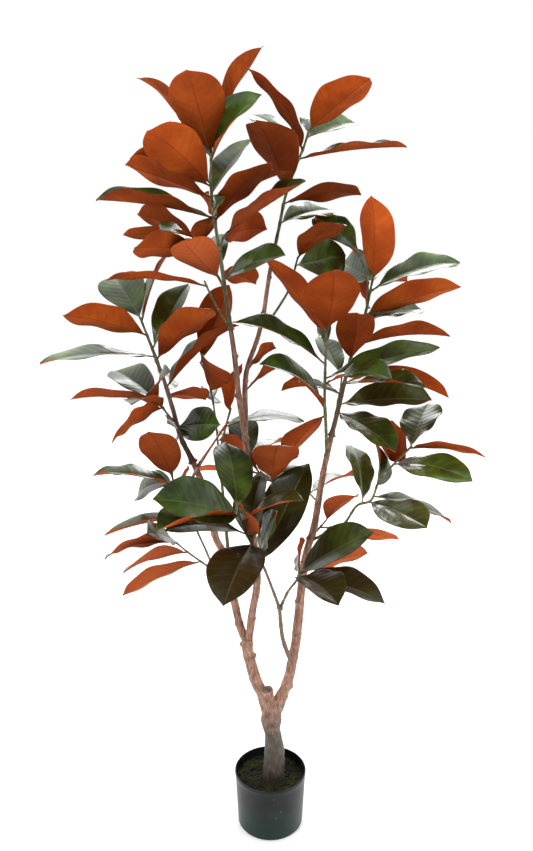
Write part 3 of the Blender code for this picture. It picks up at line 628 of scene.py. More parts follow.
def under_leaf():
    """Polyester flocked like suede: rust brown and matte, its raised veins barely darker."""
    made, tree, shader = new_material(
        "flocked_suede_leaf_underside",
        Roughness=0.85, IOR=1.45, Specular_IOR_Level=0.06, Sheen_Weight=0.04, Sheen_Roughness=0.5,
        Sheen_Tint=linear("E08A50"),
    )
    between, midrib, along = leaf_veins(tree, VEIN_PAIRS)
    place = add(tree, "ShaderNodeTexCoord").outputs["Object"]
    patches = clouds(tree, place, 16.0, 4.0)
    rust = ramp(tree, patches, (0.3, "7E3412"), (0.5, "9A4014"), (0.72, "B0541A"))
    layered = leaf_layers(
        tree, rust, (between, midrib, along),
        old="A2502C", vein=(0.4, 0.16, "7A3014"), rib=(0.45, "6E2C12"), stalk=(0.06, "6A5633"),
    )
    # The pile lies unevenly, in specks of about 1 mm.
    pile = clouds(tree, place, 900.0, 3.0)
    speck = remap(tree, pile, start=0.88, end=1.1)
    # Painted shade: darker towards each leaf's foot, where leaves lie in shade by the stems,
    # then darker or brighter by the leaf's tone, partly its own colour and partly painted light and
    # shade.
    painted_foot_shade = remap(tree, along, high=0.45, start=0.66, end=1.0)
    depth = maths(tree, "MULTIPLY", painted_foot_shade, leaf_dye_and_painted_light(tree, 0.5, 1.55))
    specks_tone_and_painted_shade = maths(tree, "MULTIPLY", speck, depth)
    specked_and_painted_shade = blend(tree, 1.0, layered, specks_tone_and_painted_shade, blend_type="MULTIPLY")
    tree.links.new(specked_and_painted_shade, shader.inputs["Base Color"])
    ridges = remap(tree, between, high=0.5, start=1.0, end=0.0)
    raised = emboss(tree, ridges, 0.4, 0.5 * MM)
    nap = emboss(tree, pile, 0.3, 0.2 * MM, normal=raised)
    tree.links.new(nap, shader.inputs["Normal"])
    return made


def green_stem():
    """Moulded polyethylene over wire: olive, faintly streaked brown along its length."""
    made, tree, shader = new_material("moulded_green_stem", IOR=1.5, Specular_IOR_Level=0.4)
    place = add(tree, "ShaderNodeTexCoord").outputs["Object"]
    drawn = stretched(tree, place, 0.25)
    streaks = clouds(tree, drawn, 260.0, 4.0)
    olive = ramp(tree, streaks, (0.3, "35351B"), (0.52, "5A5C36"), (0.72, "8E9068"))
    age = own_value(tree, "stem_age")
    browned = blend(tree, age, olive, linear("6B5244"))
    tree.links.new(browned, shader.inputs["Base Color"])
    rough = remap(tree, streaks, start=0.4, end=0.65)
    tree.links.new(rough, shader.inputs["Roughness"])
    ribs = emboss(tree, streaks, 0.5, 0.4 * MM)
    tree.links.new(ribs, shader.inputs["Normal"])
    return made


def painted_bark():
    """Bark with a thin brown wash: fibres of about 3 mm, grey on the stump, reddish on the limbs."""
    made, tree, shader = new_material("washed_fibrous_bark", IOR=1.45, Specular_IOR_Level=0.4)
    place = add(tree, "ShaderNodeTexCoord").outputs["Object"]
    drawn = stretched(tree, place, 0.16)
    fibres = clouds(tree, drawn, 330.0, 6.0, roughness=0.65)
    blotches = clouds(tree, place, 60.0, 4.0)
    both = add(
        tree,
        "ShaderNodeMix",
        {0: 0.28, 2: fibres, 3: blotches},
    )
    red = ramp(
        tree, both.outputs[0], (0.32, "4A3328"), (0.45, "7D5947"), (0.56, "9E7965"), (0.7, "CDAC97")
    )
    grey = ramp(
        tree,
        both.outputs[0],
        (0.32, "2F2923"),
        (0.46, "463F36"),
        (0.58, "585045"),
        (0.72, "746A5C"),
    )
    # The wash turns redder from above the stump's waist, unevenly.
    parts = add(tree, "ShaderNodeSeparateXYZ", {0: place})
    ragged = maths(tree, "MULTIPLY_ADD", blotches, 0.09, parts.outputs[2])
    height = remap(tree, ragged, low=0.235, high=0.33)
    brown = blend(tree, height, grey, red)
    # Soil has darkened the foot.
    muddy = remap(tree, ragged, low=0.14, high=0.17, start=0.7, end=0.0)
    soiled = blend(tree, muddy, brown, linear("2A2118"))
    tree.links.new(soiled, shader.inputs["Base Color"])
    rough = remap(tree, fibres, start=0.38, end=0.68)
    tree.links.new(rough, shader.inputs["Roughness"])
    relief = emboss(tree, both.outputs[0], 0.9, 1.0 * MM)
    tree.links.new(relief, shader.inputs["Normal"])
    return made


def sawn_wood():
    """Sawn end grain, dulled: rings about 2 mm apart."""
    made, tree, shader = new_material("sawn_end_grain", Roughness=0.85, IOR=1.45)
    place = add(tree, "ShaderNodeTexCoord").outputs["Object"]
    rings = add(
        tree,
        "ShaderNodeTexWave",
        {"Vector": place, "Scale": 80.0, "Distortion": 3.0, "Detail": 2.0},
        wave_type="RINGS",
    )
    tan = ramp(tree, rings.outputs[1], (0.2, "443A31"), (0.8, "65594C"))
    tree.links.new(tan, shader.inputs["Base Color"])
    bump = emboss(tree, rings.outputs[1], 0.3, 0.3 * MM)
    tree.links.new(bump, shader.inputs["Normal"])
    return made


def pot_plastic():
    """Moulded polypropylene, nearly black with a blue-green cast: satin, lightly scuffed."""
    made, tree, shader = new_material("moulded_polypropylene_pot", IOR=1.49, Specular_IOR_Level=0.25)
    place = add(tree, "ShaderNodeTexCoord").outputs["Object"]
    cloud = clouds(tree, place, 26.0, 5.0)
    drawn = stretched(tree, place, 0.15)
    scuffs = clouds(tree, drawn, 240.0, 6.0, roughness=0.7)
    dark = ramp(tree, cloud, (0.3, "070C0C"), (0.52, "0D1615"), (0.72, "122622"))
    # The lower wall is bluer.
    parts = add(tree, "ShaderNodeSeparateXYZ", {0: place})
    low = remap(tree, parts.outputs[2], low=0.01, high=0.07, start=0.8, end=0.0)
    blued = blend(tree, low, dark, linear("0A2B23"))
    dust = remap(tree, scuffs, low=0.6, high=0.8, end=0.22)
    dusty = blend(tree, dust, blued, linear("4A5552"))
    # Specks where the skin was chipped, a few millimetres across.
    chips = add(
        tree, "ShaderNodeTexVoronoi", {"Vector": place, "Scale": 55.0}
    )
    chipped = remap(tree, chips.outputs[0], low=0.05, high=0.12, start=0.45, end=0.0)
    worn = blend(tree, chipped, dusty, linear("5C6663"))
    tree.links.new(worn, shader.inputs["Base Color"])
    rough = remap(tree, scuffs, start=0.26, end=0.5)
    tree.links.new(rough, shader.inputs["Roughness"])
    bump = emboss(tree, scuffs, 0.25, 0.2 * MM)
    tree.links.new(bump, shader.inputs["Normal"])
    return made


def potting_soil():
    """Dark crumbled peat and dried moss: matte, near black, with olive flecks."""
    made, tree, shader = new_material(
        "crumbled_peat_and_moss", Roughness=0.95, IOR=1.4, Specular_IOR_Level=0.2
    )
    place = add(tree, "ShaderNodeTexCoord").outputs["Object"]
    crumbs = clouds(tree, place, 320.0, 6.0, roughness=0.7)
    patches = clouds(tree, place, 45.0, 3.0)
    peat = ramp(tree, crumbs, (0.3, "0D0C08"), (0.55, "1A1810"), (0.8, "332C1C"))
    moss = ramp(tree, crumbs, (0.3, "121408"), (0.55, "262912"), (0.8, "42461F"))
    where = remap(tree, patches, low=0.42, high=0.58)
    ground = blend(tree, where, peat, moss)
    tree.links.new(ground, shader.inputs["Base Color"])
    bump = emboss(tree, crumbs, 1.0, 1.2 * MM)
    tree.links.new(bump, shader.inputs["Normal"])
    return made


# ---- mesh tools ----------------------------------------------------------------------------
def shown(name, node, verts, faces, looks, face_looks=None):
    """A finished piece: its mesh, its materials, the body it rides on and what it stands for."""
    mesh = bpy.data.meshes.new(name)
    mesh.from_pydata(verts, [], faces)
    for look in looks:
        mesh.materials.append(look)
    if face_looks:
        mesh.polygons.foreach_set("material_index", face_looks)
    mesh.shade_smooth()
    made = bpy.data.objects.new(name, mesh)
    bpy.context.collection.objects.link(made)
    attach(made, "root")
    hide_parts(node)
    return made


def smooth_route(points, spacing):
    """Points every so often on a smooth curve through the route, and the share of each."""
    knots = [Vector(point) for point in points]
    padded = [knots[0] * 2.0 - knots[1]] + knots + [knots[-1] * 2.0 - knots[-2]]
    route = []
    for index in range(1, len(padded) - 2):
        before, start, end, after = padded[index - 1:index + 3]
        steps = max(2, round((end - start).length / spacing))
        for step in range(steps):
            t = step / steps
            route.append(0.5 * (
                2.0 * start
                + (end - before) * t
                + (2.0 * before - 5.0 * start + 4.0 * end - after) * t * t
                + (3.0 * start - before - 3.0 * end + after) * t * t * t
            ))
    route.append(knots[-1])
    run = [0.0]
    for first, second in zip(route, route[1:]):
        run.append(run[-1] + (second - first).length)
    return route, [here / run[-1] for here in run], run[-1]


def frames_on(route):
    """At each point of the route, two directions square to it that turn as little as possible."""
    made = []
    side = None
    for index, centre in enumerate(route):
        along = (route[min(index + 1, len(route) - 1)] - route[max(index - 1, 0)]).normalized()
        if side is None:
            side = along.orthogonal().normalized()
        side = (side - along * side.dot(along)).normalized()
        made.append((centre, side, along.cross(side)))
    return made


def skin(frames, reach, sides):
    """A closed tube of quads; reach gives the radius at a ring and an angle."""
    verts = []
    for ring, (centre, side, other) in enumerate(frames):
        for step in range(sides):
            angle = 2.0 * math.pi * step / sides
            out = side * math.cos(angle) + other * math.sin(angle)
            verts.append(centre + out * reach(ring, angle, out))
    faces = []
    for ring in range(len(frames) - 1):
        low = ring * sides
        for step in range(sides):
            following = (step + 1) % sides
            faces.append((low + step, low + following, low + sides + following, low + sides + step))
    faces.append(tuple(range(sides - 1, -1, -1)))
    faces.append(tuple(range(len(verts) - sides, len(verts))))
    return verts, faces


# ---- leaves --------------------------------------------------------------------------------
def leaf_frame(heading, rise, roll):
    turn = math.radians(heading)
    lift = math.radians(rise)
    along = Vector((
        math.cos(lift) * math.cos(turn),
        math.cos(lift) * math.sin(turn),
        math.sin(lift),
    ))
    level = Vector((-math.sin(turn), math.cos(turn), 0.0))
    above = along.cross(level)
    angle = math.radians(roll)
    side = level * math.cos(angle) + above * math.sin(angle)
    face = above * math.cos(angle) - level * math.sin(angle)
    return along, side, face


# Where a leaf's rows have points, from one edge (-1) over the midrib to the other, and its rows.
ACROSS = (
    -1.0, -0.93, -0.78, -0.56, -0.32, -0.12, -0.045, 0.0, 0.045, 0.12, 0.32, 0.56, 0.78, 0.93, 1.0
)
ALONG = 34

# A blade's half width along its length, as shares of both: full past the middle, then a point.
OUTLINE = (
    (0.0, 0.03), (0.05, 0.20), (0.12, 0.42), (0.22, 0.66), (0.33, 0.84), (0.45, 0.95), (0.56, 1.0),
    (0.67, 0.97), (0.77, 0.85), (0.85, 0.67), (0.905, 0.48), (0.94, 0.31), (0.962, 0.19), (0.98, 0.10),
    (1.0, 0.0),
)


def blade_reach(t, fullness):
    """A leaf's half width at a share t of its blade; fullness over 1 moves its belly outwards."""
    t = t ** fullness
    for index in range(len(OUTLINE) - 1):
        low, narrow = OUTLINE[index]
        high, wide = OUTLINE[index + 1]
        if t <= high:
            before = OUTLINE[max(index - 1, 0)]
            after = OUTLINE[min(index + 2, len(OUTLINE) - 1)]
            span = high - low
            part = (t - low) / span
            enter = (wide - before[1]) / (high - before[0]) * span
            leave = (after[1] - narrow) / (after[0] - low) * span
            return (
                narrow * (2.0 * part ** 3 - 3.0 * part ** 2 + 1.0)
                + enter * (part ** 3 - 2.0 * part ** 2 + part)
                + wide * (3.0 * part ** 2 - 2.0 * part ** 3)
                + leave * (part ** 3 - part ** 2)
            )
    return 0.0


def leaf_mesh(base, heading, rise, roll, length, width, chance, own):
    """One leaf as a thin closed shell: stalk, quilted upper side, ribbed underside.

    Its bow, twist, cupping and edge waves differ from leaf to leaf.
    """
    along, side, face = leaf_frame(heading, rise, roll)
    bow = own.get("bow", 0.05 + chance.uniform(-0.03, 0.03))
    hook = own.get("hook", chance.uniform(-0.03, 0.09))
    twist = math.radians(own.get("twist", chance.uniform(-13.0, 13.0)))
    fold = own.get("fold", chance.uniform(0.18, 0.40))
    cup = chance.uniform(-0.25, 0.15)
    wave = chance.uniform(1.0, 3.2) * MM
    waves = chance.uniform(1.6, 3.0)
    fullness = own.get("fullness", chance.uniform(0.88, 1.2))
    start = chance.uniform(0.0, TURN)
    lean = own.get("lean", chance.uniform(-0.025, 0.025))
    half = width / 2.0
    rows = []
    for step in range(ALONG + 1):
        even = step / ALONG
        share = 0.35 * even + 0.65 * (0.5 - 0.5 * math.cos(math.pi * even))
        share = min(share, 0.997)
        t = max(0.0, (share - STALK_SHARE) / (1.0 - STALK_SHARE))
        least = 1.5 * MM if t < 0.3 else 0.4 * MM
        reach = max(least, half * blade_reach(t, fullness))
        blade = min(1.0, t / 0.08)
        hooked = hook * max(0.0, share - 0.55) ** 2 * 2.5
        centre = (
            base
            + along * (share * length)
            + face * (length * (4.0 * bow * share * (1.0 - share) - hooked))
            + side * (length * lean * math.sin(math.pi * share))
        )
        turned = twist * (share - 0.5)
        out = side * math.cos(turned) + face * math.sin(turned)
        up = face * math.cos(turned) - side * math.sin(turned)
        top = []
        bottom = []
        for across in ACROSS:
            away = abs(across)
            x = across * reach
            z = fold * abs(x) + cup * x * x / max(half, 0.01)
            offset = 1.3 if across > 0 else 0.0
            z += wave * blade * away ** 3 * math.sin(waves * TURN * t + start + offset)
            # Pillows between the side veins, as the veins in the material run.
            pillow = abs(((t - 0.17 * away ** 1.35) * VEIN_PAIRS + 0.5) % 1.0 - 0.5) * 2.0
            z += 0.3 * MM * blade * pillow * (1.0 - away ** 4)
            thick = LEAF_THICKNESS * (1.0 - 0.75 * away ** 4) / 2.0
            rib = 1.3 * MM * (1.0 - 0.75 * share) * max(0.0, 1.0 - away / 0.10)
            stalk = (1.0 - blade) * 1.2 * MM * math.sqrt(max(0.0, 1.0 - away * away))
            groove = 0.4 * MM * blade * max(0.0, 1.0 - away / 0.10)
            top.append(centre + out * x + up * (z + thick + stalk - groove))
            bottom.append(centre + out * x + up * (z - thick - stalk - rib * blade))
        rows.append((top, bottom, t))
    tip = base + along * length - face * (length * hook * 0.45 ** 2 * 2.5)
    return rows, tip


def add_leaf(store, base, leaf, chance, own):
    """Appends one leaf's points, faces, map, age, tone and wax to a shoot's store."""
    heading, rise, roll, length, width = leaf
    age = own.get("aged", leaf_age(base.z, chance))
    tone = own.get("tone", chance.uniform(-0.3, 0.3))
    wax = own.get("wax", 1.0)
    rows, tip = leaf_mesh(base, heading, rise, roll, length, width, chance, own)
    verts, faces, looks, places, ages, tones, waxes = store
    first = len(verts)
    wide = len(ACROSS)
    for top, bottom, t in rows:
        for line in (top, bottom):
            verts.extend(line)
            places.extend((0.5 + across / 2.0, t) for across in ACROSS)
            ages.extend([age] * wide)
            tones.extend([tone] * wide)
            waxes.extend([wax] * wide)
    verts.append(tip)
    places.append((0.5, 1.0))
    ages.append(age)
    tones.append(tone)
    waxes.append(wax)
    last = len(verts) - 1
    for row in range(len(rows) - 1):
        low = first + row * wide * 2
        high = low + wide * 2
        for column in range(wide - 1):
            faces.append((low + column, low + column + 1, high + column + 1, high + column))
            looks.append(0)
            under = low + wide + column
            above = high + wide + column
            faces.append((under, above, above + 1, under + 1))
            looks.append(1)
        for column, flip in ((0, False), (wide - 1, True)):
            edge = (low + column, high + column, high + wide + column, low + wide + column)
            faces.append(tuple(reversed(edge)) if flip else edge)
            looks.append(1)
    end = first + (len(rows) - 1) * wide * 2
    for column in range(wide - 1):
        faces.append((end + column, end + column + 1, last))
        looks.append(0)
        faces.append((end + wide + column + 1, end + wide + column, last))
        looks.append(1)
    faces.append((end, last, end + wide))
    looks.append(1)
    faces.append((end + wide * 2 - 1, last, end + wide - 1))
    looks.append(1)
    cap = [first + column for column in range(wide)]
    cap += [first + wide * 2 - 1 - column for column in range(wide)]
    faces.append(tuple(reversed(cap)))
    looks.append(1)


def on_route(route, shares, share):
    for index in range(len(route) - 1):
        if share <= shares[index + 1]:
            part = (share - shares[index]) / (shares[index + 1] - shares[index])
            return route[index].lerp(route[index + 1], part)
    return route[-1]


def leaf_age(height, chance):
    """Old, browner leaves hang low: 0 for a young leaf and 1 for an old one."""
    low = max(0.0, min(1.0, (OLD_BELOW - height) / OLD_SPAN))
    return max(0.0, min(1.0, 0.75 * low + chance.uniform(-0.1, 0.15)))


def build_leaves(key, upper, under):
    """All the leaves of one shoot, each with its own bow and twist."""
    route, shares, _ = smooth_route(LIMBS[key][2], 0.006)
    store = ([], [], [], [], [], [], [])
    for index, (share, *leaf) in enumerate(LEAVES[key]):
        chance = random.Random(f"{key} leaf {index}")
        base = on_route(route, shares, min(share, LAST_LEAF_SHARE))
        add_leaf(store, base, leaf, chance, SINGLED_OUT.get(key, {}).get(index, {}))
    verts, faces, looks, places, ages, tones, waxes = store
    made = shown(key + "_leaves", key, verts, faces, (upper, under), looks)
    mesh = made.data
    leaf_map = mesh.uv_layers.new(name="leaf_map")
    for loop in mesh.loops:
        leaf_map.data[loop.index].uv = places[loop.vertex_index]
    for name, values in (("leaf_age", ages), ("leaf_tone", tones), ("leaf_wax", waxes)):
        mesh.attributes.new(name, "FLOAT", "POINT").data.foreach_set("value", values)
    return made


# ---- twigs and limbs -----------------------------------------------------------------------
def build_twig(key, look):
    """A green or browning twig, swollen at its foot and where each leaf stands."""
    start, end, points = LIMBS[key]
    route, shares, length = smooth_route(points, 0.0035)
    standing = [leaf[0] for leaf in LEAVES.get(key, ())]
    standing += [0.15, 0.4, 0.7]
    seed = Vector((len(key) * 3.1, start * 900.0, len(points) * 1.7))

    def reach(ring, angle, out):
        share = shares[ring]
        radius = start + (end - start) * share
        for place in standing:
            gap = (share - place) * length
            radius += 0.5 * MM * math.exp(-(gap / 0.004) ** 2)
        radius += 0.9 * start * math.exp(-share * length / 0.004)
        rough = noise.noise(Vector((out.x, out.y, out.z)) * 1.6 + seed + route[ring] * 120.0)
        return radius * (1.0 + 0.10 * rough)

    verts, faces = skin(frames_on(route), reach, TWIG_SIDES)
    made = shown(key + "_stem", key, verts, faces, (look,))
    thick = BARKY.get(key, 0.25 if start > 0.004 else 0.0)
    ages = []
    for share in shares:
        ages.extend([thick * max(0.0, min(1.0, 1.45 - 1.3 * share))] * TWIG_SIDES)
    made.data.attributes.new("stem_age", "FLOAT", "POINT").data.foreach_set("value", ages)
    return made


def build_limb(key, look):
    """A bare limb: fibres along it, rings round it, knots where twigs were cut off."""
    start, end, points = LIMBS[key]
    route, shares, length = smooth_route(points, 0.0028)
    frames = frames_on(route)
    sides = 28
    knots = [
        (place, math.radians(turn), tall * MM, wide * MM) for place, turn, tall, wide in KNOTS[key]
    ]
    seed = Vector((len(key) * 2.3, len(points) * 5.1, start * 700.0))

    def reach(ring, angle, out):
        share = shares[ring]
        radius = start + (end - start) * share
        run = share * length
        fibre = noise.noise(Vector((out.x * 4.0, out.y * 4.0, run * 55.0)) + seed)
        strands = noise.noise(Vector((out.x * 9.0, out.y * 9.0, run * 26.0)) - seed)
        lumps = noise.noise(Vector((out.x * 1.2, out.y * 1.2, run * 38.0)) + seed * 2.0)
        radius *= 1.0 + 0.09 * lumps
        radius += 0.6 * MM * fibre + 0.5 * MM * strands
        if key in STRANDS:
            # Stems wound together show as slow-turning ridges.
            first, last, tall, turns = STRANDS[key]
            within = max(0.0, min(1.0, (share - first) / 0.08, (last - share) / 0.08))
            ridge = abs(math.sin(1.5 * (angle + turns * TURN * share)))
            radius += within * tall * MM * (ridge - 0.6)
        for place, turn, tall, wide in knots:
            gap = (share - place) * length / wide
            round_it = (angle - turn + math.pi) % (2.0 * math.pi) - math.pi
            near = math.exp(-gap * gap * 2.0 - (round_it * radius / wide) ** 2 * 2.0)
            radius += tall * near
            radius += 0.25 * tall * math.exp(-gap * gap * 6.0)
        return radius

    verts, faces = skin(frames, reach, sides)
    made = shown(key + "_bark", key, verts, faces, (look,))
    return made


def build_trunk(look, sawn):
    """The stump, its sawn stub and the feet of both limbs grown into one, with wrinkles."""
    bm = bmesh.new()
    feet = [TRUNK, STUB]
    for key, radius, narrowing in (("left_limb", 0.0160, 0.0026), ("right_limb", 0.0158, 0.0030)):
        first, second = LIMBS[key][2][:2]
        feet.append(((*first, radius), (*second, radius - narrowing)))
    feet.append(CROTCH)
    for points in feet:
        route, shares, _ = smooth_route([point[:3] for point in points], 0.004)
        radii = []
        for share in shares:
            spot = share * (len(points) - 1)
            index = min(int(spot), len(points) - 2)
            before, after = points[index][3], points[index + 1][3]
            radii.append(before + (after - before) * (spot - index))
        verts, faces = skin(frames_on(route), lambda ring, angle, out: radii[ring], 32)
        made = [bm.verts.new(vert) for vert in verts]
        for face in faces:
            bm.faces.new([made[corner] for corner in face])
    mesh = bpy.data.meshes.new("trunk_bark")
    bm.to_mesh(mesh)
    bm.free()
    grown = bpy.data.objects.new("trunk_bark", mesh)
    bpy.context.collection.objects.link(grown)
    melt = grown.modifiers.new("melt", "REMESH")
    melt.mode = "VOXEL"
    melt.voxel_size = 1.3 * MM
    ease = grown.modifiers.new("ease", "SMOOTH")
    ease.factor = 0.5
    ease.iterations = 24
    graph = bpy.context.evaluated_depsgraph_get()
    fused = bpy.data.meshes.new_from_object(grown.evaluated_get(graph))
    bpy.data.objects.remove(grown)
    cut_centre = Vector(STUB[1][:3])
    cut_along = (cut_centre - Vector(STUB[0][:3])).normalized()
    normals = [vert.normal.copy() for vert in fused.vertices]
    verts = []
    for vert, normal in zip(fused.vertices, normals):
        spot = vert.co
        wrinkle = noise.noise(Vector((spot.x * 260.0, spot.y * 260.0, spot.z * 60.0)))
        dent = noise.noise(spot * 55.0)
        grain = noise.noise(Vector((spot.x * 420.0, spot.y * 420.0, spot.z * 160.0)))
        verts.append(spot + normal * ((0.6 * wrinkle + 0.9 * dent + 0.3 * grain) * MM))
    faces = [tuple(face.vertices) for face in fused.polygons]
    looks = []
    for face in fused.polygons:
        near = (face.center - cut_centre).length < 0.0125
        looks.append(1 if near and face.normal.dot(cut_along) > 0.8 else 0)
    return shown("trunk_bark", "trunk", verts, faces, (look, sawn), looks)


# ---- pot and soil --------------------------------------------------------------------------
def pot_reach(height):
    """The pot wall's outer radius at a height."""
    return POT_BASE + (POT_RIM - POT_BASE - 0.6 * MM) * height / POT_HEIGHT


def spun(profile, sides):
    """A closed body turned about the Z axis from a profile that starts and ends on the axis."""
    verts = []
    rings = []
    for radius, height in profile:
        count = sides if radius > 0.0 else 1
        rings.append((len(verts), count))
        for step in range(count):
            angle = 2.0 * math.pi * step / sides
            verts.append((radius * math.cos(angle), radius * math.sin(angle), height))
    faces = []
    for (low, low_count), (high, high_count) in zip(rings, rings[1:]):
        for step in range(sides):
            following = (step + 1) % sides
            corners = [low + step % low_count, low + following % low_count]
            corners += [high + following % high_count, high + step % high_count]
            faces.append(tuple(dict.fromkeys(corners)))
    return verts, faces


def build_pot(look):
    """Thin-walled pot: rounded foot, a moulded band under a rolled rim, a raised base inside."""
    band = POT_HEIGHT - 6.0 * MM
    profile = [(0.0, 0.0)]
    profile.append((POT_BASE - 8.0 * MM, 0.0))
    profile.append((POT_BASE - 7.0 * MM, 0.8 * MM))
    profile.append((POT_BASE - 4.0 * MM, 0.8 * MM))
    profile.append((POT_BASE - 3.2 * MM, 0.0))
    for step in range(7):
        angle = math.pi / 2.0 * step / 6.0
        profile.append((
            pot_reach(0.0) - FOOT_ROUNDING * (1.0 - math.sin(angle)),
            FOOT_ROUNDING * (1.0 - math.cos(angle)),
        ))
    for height in (0.02, 0.04, 0.06, 0.08, 0.095):
        profile.append((pot_reach(height), height))
    # The rim band swells out of the wall with no step.
    for share in (0.0, 0.25, 0.5, 0.75, 1.0):
        height = band - 4.0 * MM + 6.0 * MM * share
        swell = POT_RIM - pot_reach(height)
        profile.append((pot_reach(height) + swell * share * share * (3.0 - 2.0 * share), height))
    for step in range(7):
        angle = math.pi * step / 6.0
        profile.append((
            POT_RIM - RIM_BEAD + RIM_BEAD * math.cos(angle),
            POT_HEIGHT - RIM_BEAD + RIM_BEAD * math.sin(angle),
        ))
    for height in (band, 0.09, 0.06, 0.03, 6.0 * MM):
        profile.append((pot_reach(height) - POT_WALL, height))
    profile.append((pot_reach(0.0) - POT_WALL - POT_FLOOR, POT_FLOOR))
    profile.append((0.0, POT_FLOOR))
    verts, faces = spun(profile, 128)
    pot = shown("nursery_pot", "pot", verts, faces, (look,))
    pot.data.set_sharp_from_angle(angle=math.radians(50.0))
    return pot


def soil_height(x, y):
    spot = Vector((x, y, 0.0))
    swell = noise.noise(spot * 60.0)
    lump = noise.noise(spot * 190.0 + Vector((3.0, 7.0, 1.0)))
    crumb = noise.noise(spot * 520.0 + Vector((9.0, 2.0, 5.0)))
    rise = 0.004 * math.exp(-((x - STUMP_X) ** 2 + y * y) / 0.0012)
    return SOIL_TOP - 1.5 * MM + rise + (1.6 * swell + 1.4 * lump + 0.9 * crumb) * MM


def build_soil(look):
    """The bed of soil up to the pot's wall, and loose crumbs and moss tufts lying on it."""
    reach = pot_reach(SOIL_TOP) - POT_WALL - 0.3 * MM
    rings, sides = 46, 120
    verts = [(0.0, 0.0, soil_height(0.0, 0.0))]
    for ring in range(1, rings + 1):
        for step in range(sides):
            angle = 2.0 * math.pi * (step + 0.5 * (ring % 2)) / sides
            x = reach * ring / rings * math.cos(angle)
            y = reach * ring / rings * math.sin(angle)
            verts.append((x, y, soil_height(x, y)))
    for step in range(sides):
        angle = 2.0 * math.pi * step / sides
        narrow = reach * 0.985
        verts.append((narrow * math.cos(angle), narrow * math.sin(angle), SOIL_TOP - 0.012))
    faces = [(0, 1 + step, 1 + (step + 1) % sides) for step in range(sides)]
    for ring in range(rings):
        low = 1 + ring * sides
        for step in range(sides):
            following = (step + 1) % sides
            faces.append((low + step, low + sides + step, low + sides + following, low + following))
    faces.append(tuple(range(len(verts) - 1, len(verts) - 1 - sides, -1)))
    shown("soil_bed", "soil", verts, faces, (look,))
    chance = random.Random("crumbs")
    bm = bmesh.new()
    for _ in range(420):
        turn = chance.uniform(0.0, 2.0 * math.pi)
        away = reach * 0.95 * math.sqrt(chance.random())
        x, y = away * math.cos(turn), away * math.sin(turn)
        size = chance.uniform(0.9, 2.6) * MM
        if math.hypot(x - STUMP_X, y) < 0.026:
            continue
        lump = bmesh.ops.create_icosphere(bm, subdivisions=2, radius=size)["verts"]
        seed = Vector((x, y, 0.0)) * 900.0
        squash = chance.uniform(0.5, 0.9)
        spin = Matrix.Rotation(chance.uniform(0.0, 3.14), 3, "Z")
        for vert in lump:
            vert.co *= 1.0 + 0.45 * noise.noise(vert.co.normalized() * 1.4 + seed)
            vert.co.z *= squash
            vert.co.x *= 1.3
            vert.co = spin @ vert.co
            vert.co += Vector((x, y, soil_height(x, y) + size * 0.25))
    mesh = bpy.data.meshes.new("crumbs")
    bm.to_mesh(mesh)
    bm.free()
    verts = [vert.co.copy() for vert in mesh.vertices]
    faces = [tuple(face.vertices) for face in mesh.polygons]
    shown("soil_crumbs", "soil", verts, faces, (look,))


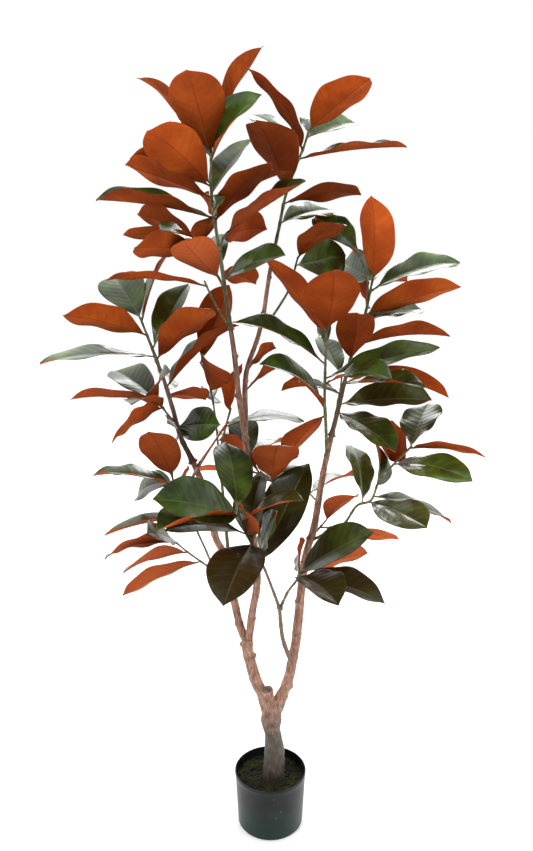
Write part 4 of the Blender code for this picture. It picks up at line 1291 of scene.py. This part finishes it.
# ---- floor, light and camera ---------------------------------------------------------------
def build_studio():
    floor_look, tree, shader = new_material("white_painted_board", Roughness=0.8, IOR=1.45)
    place = add(tree, "ShaderNodeTexCoord").outputs["Object"]
    paint = clouds(tree, place, 6.0, 2.0)
    white = ramp(tree, paint, (0.3, "F7F7F6"), (0.7, "FAFAFA"))
    tree.links.new(white, shader.inputs["Base Color"])
    mesh = bpy.data.meshes.new("studio_floor")
    mesh.from_pydata([(-30, -30, 0), (30, -30, 0), (30, 30, 0), (-30, 30, 0)], [], [(0, 1, 2, 3)])
    mesh.materials.append(floor_look)
    floor = bpy.data.objects.new("studio_floor", mesh)
    floor.location.z = -0.0005
    bpy.context.collection.objects.link(floor)
    world = bpy.data.worlds.new("soft_white_room")
    world.use_nodes = True
    tree = world.node_tree
    sky = tree.nodes["Background"]
    # A white room: bright behind and overhead, dimmer on the side the camera stands.
    outward = add(tree, "ShaderNodeTexCoord").outputs["Generated"]
    parts = add(tree, "ShaderNodeSeparateXYZ", {0: outward})
    depth = remap(tree, parts.outputs[1], low=-0.9, high=0.5, start=0.16, end=1.35)
    over = remap(tree, parts.outputs[2], low=0.1, high=0.9, start=0.0, end=0.5)
    lit = maths(tree, "ADD", depth, over)
    seen = add(tree, "ShaderNodeLightPath")
    strength = add(
        tree, "ShaderNodeMix", {0: seen.outputs["Is Camera Ray"], 2: lit, 3: 1.0}
    )
    tree.links.new(strength.outputs[0], sky.inputs["Strength"])
    sky.inputs["Color"].default_value = (1.0, 1.0, 1.0, 1.0)
    bpy.context.scene.world = world
    bpy.context.scene.view_settings.view_transform = "Standard"
    for name, spot, aim, size, power in (
        ("key_softbox", (-1.9, -1.8, 3.2), (0.0, 0.0, 0.9), 0.9, 66.0),
        ("side_softbox", (2.6, -0.9, 1.9), (0.0, 0.0, 0.8), 1.3, 30.0),
        ("back_softbox", (0.4, 2.8, 2.8), (0.0, 0.0, 1.0), 1.8, 75.0),
    ):
        light = bpy.data.lights.new(name, "AREA")
        light.shape = "SQUARE"
        light.size = size
        light.energy = power
        lamp = bpy.data.objects.new(name, light)
        lamp.location = spot
        lamp.rotation_euler = (Vector(aim) - Vector(spot)).to_track_quat("-Z", "Y").to_euler()
        bpy.context.collection.objects.link(lamp)


def build_camera():
    """Eye height about 1.1 m, 1.3 m away, looking a little down."""
    lens = bpy.data.cameras.new("camera")
    lens.sensor_width = 36.0
    lens.lens = 29.6
    camera = bpy.data.objects.new("camera", lens)
    camera.location = (-0.008, -1.299, 1.084)
    camera.rotation_euler = (math.radians(79.34), 0.0, 0.0)
    bpy.context.collection.objects.link(camera)
    bpy.context.scene.camera = camera


def main():
    upper = upper_leaf()
    under = under_leaf()
    twig = green_stem()
    bark = painted_bark()
    build_pot(pot_plastic())
    build_soil(potting_soil())
    build_trunk(bark, sawn_wood())
    for key in LIMBS:
        if key in WOODY:
            build_limb(key, bark)
        else:
            build_twig(key, twig)
        if key in LEAVES:
            build_leaves(key, upper, under)
    build_studio()
    build_camera()


main()
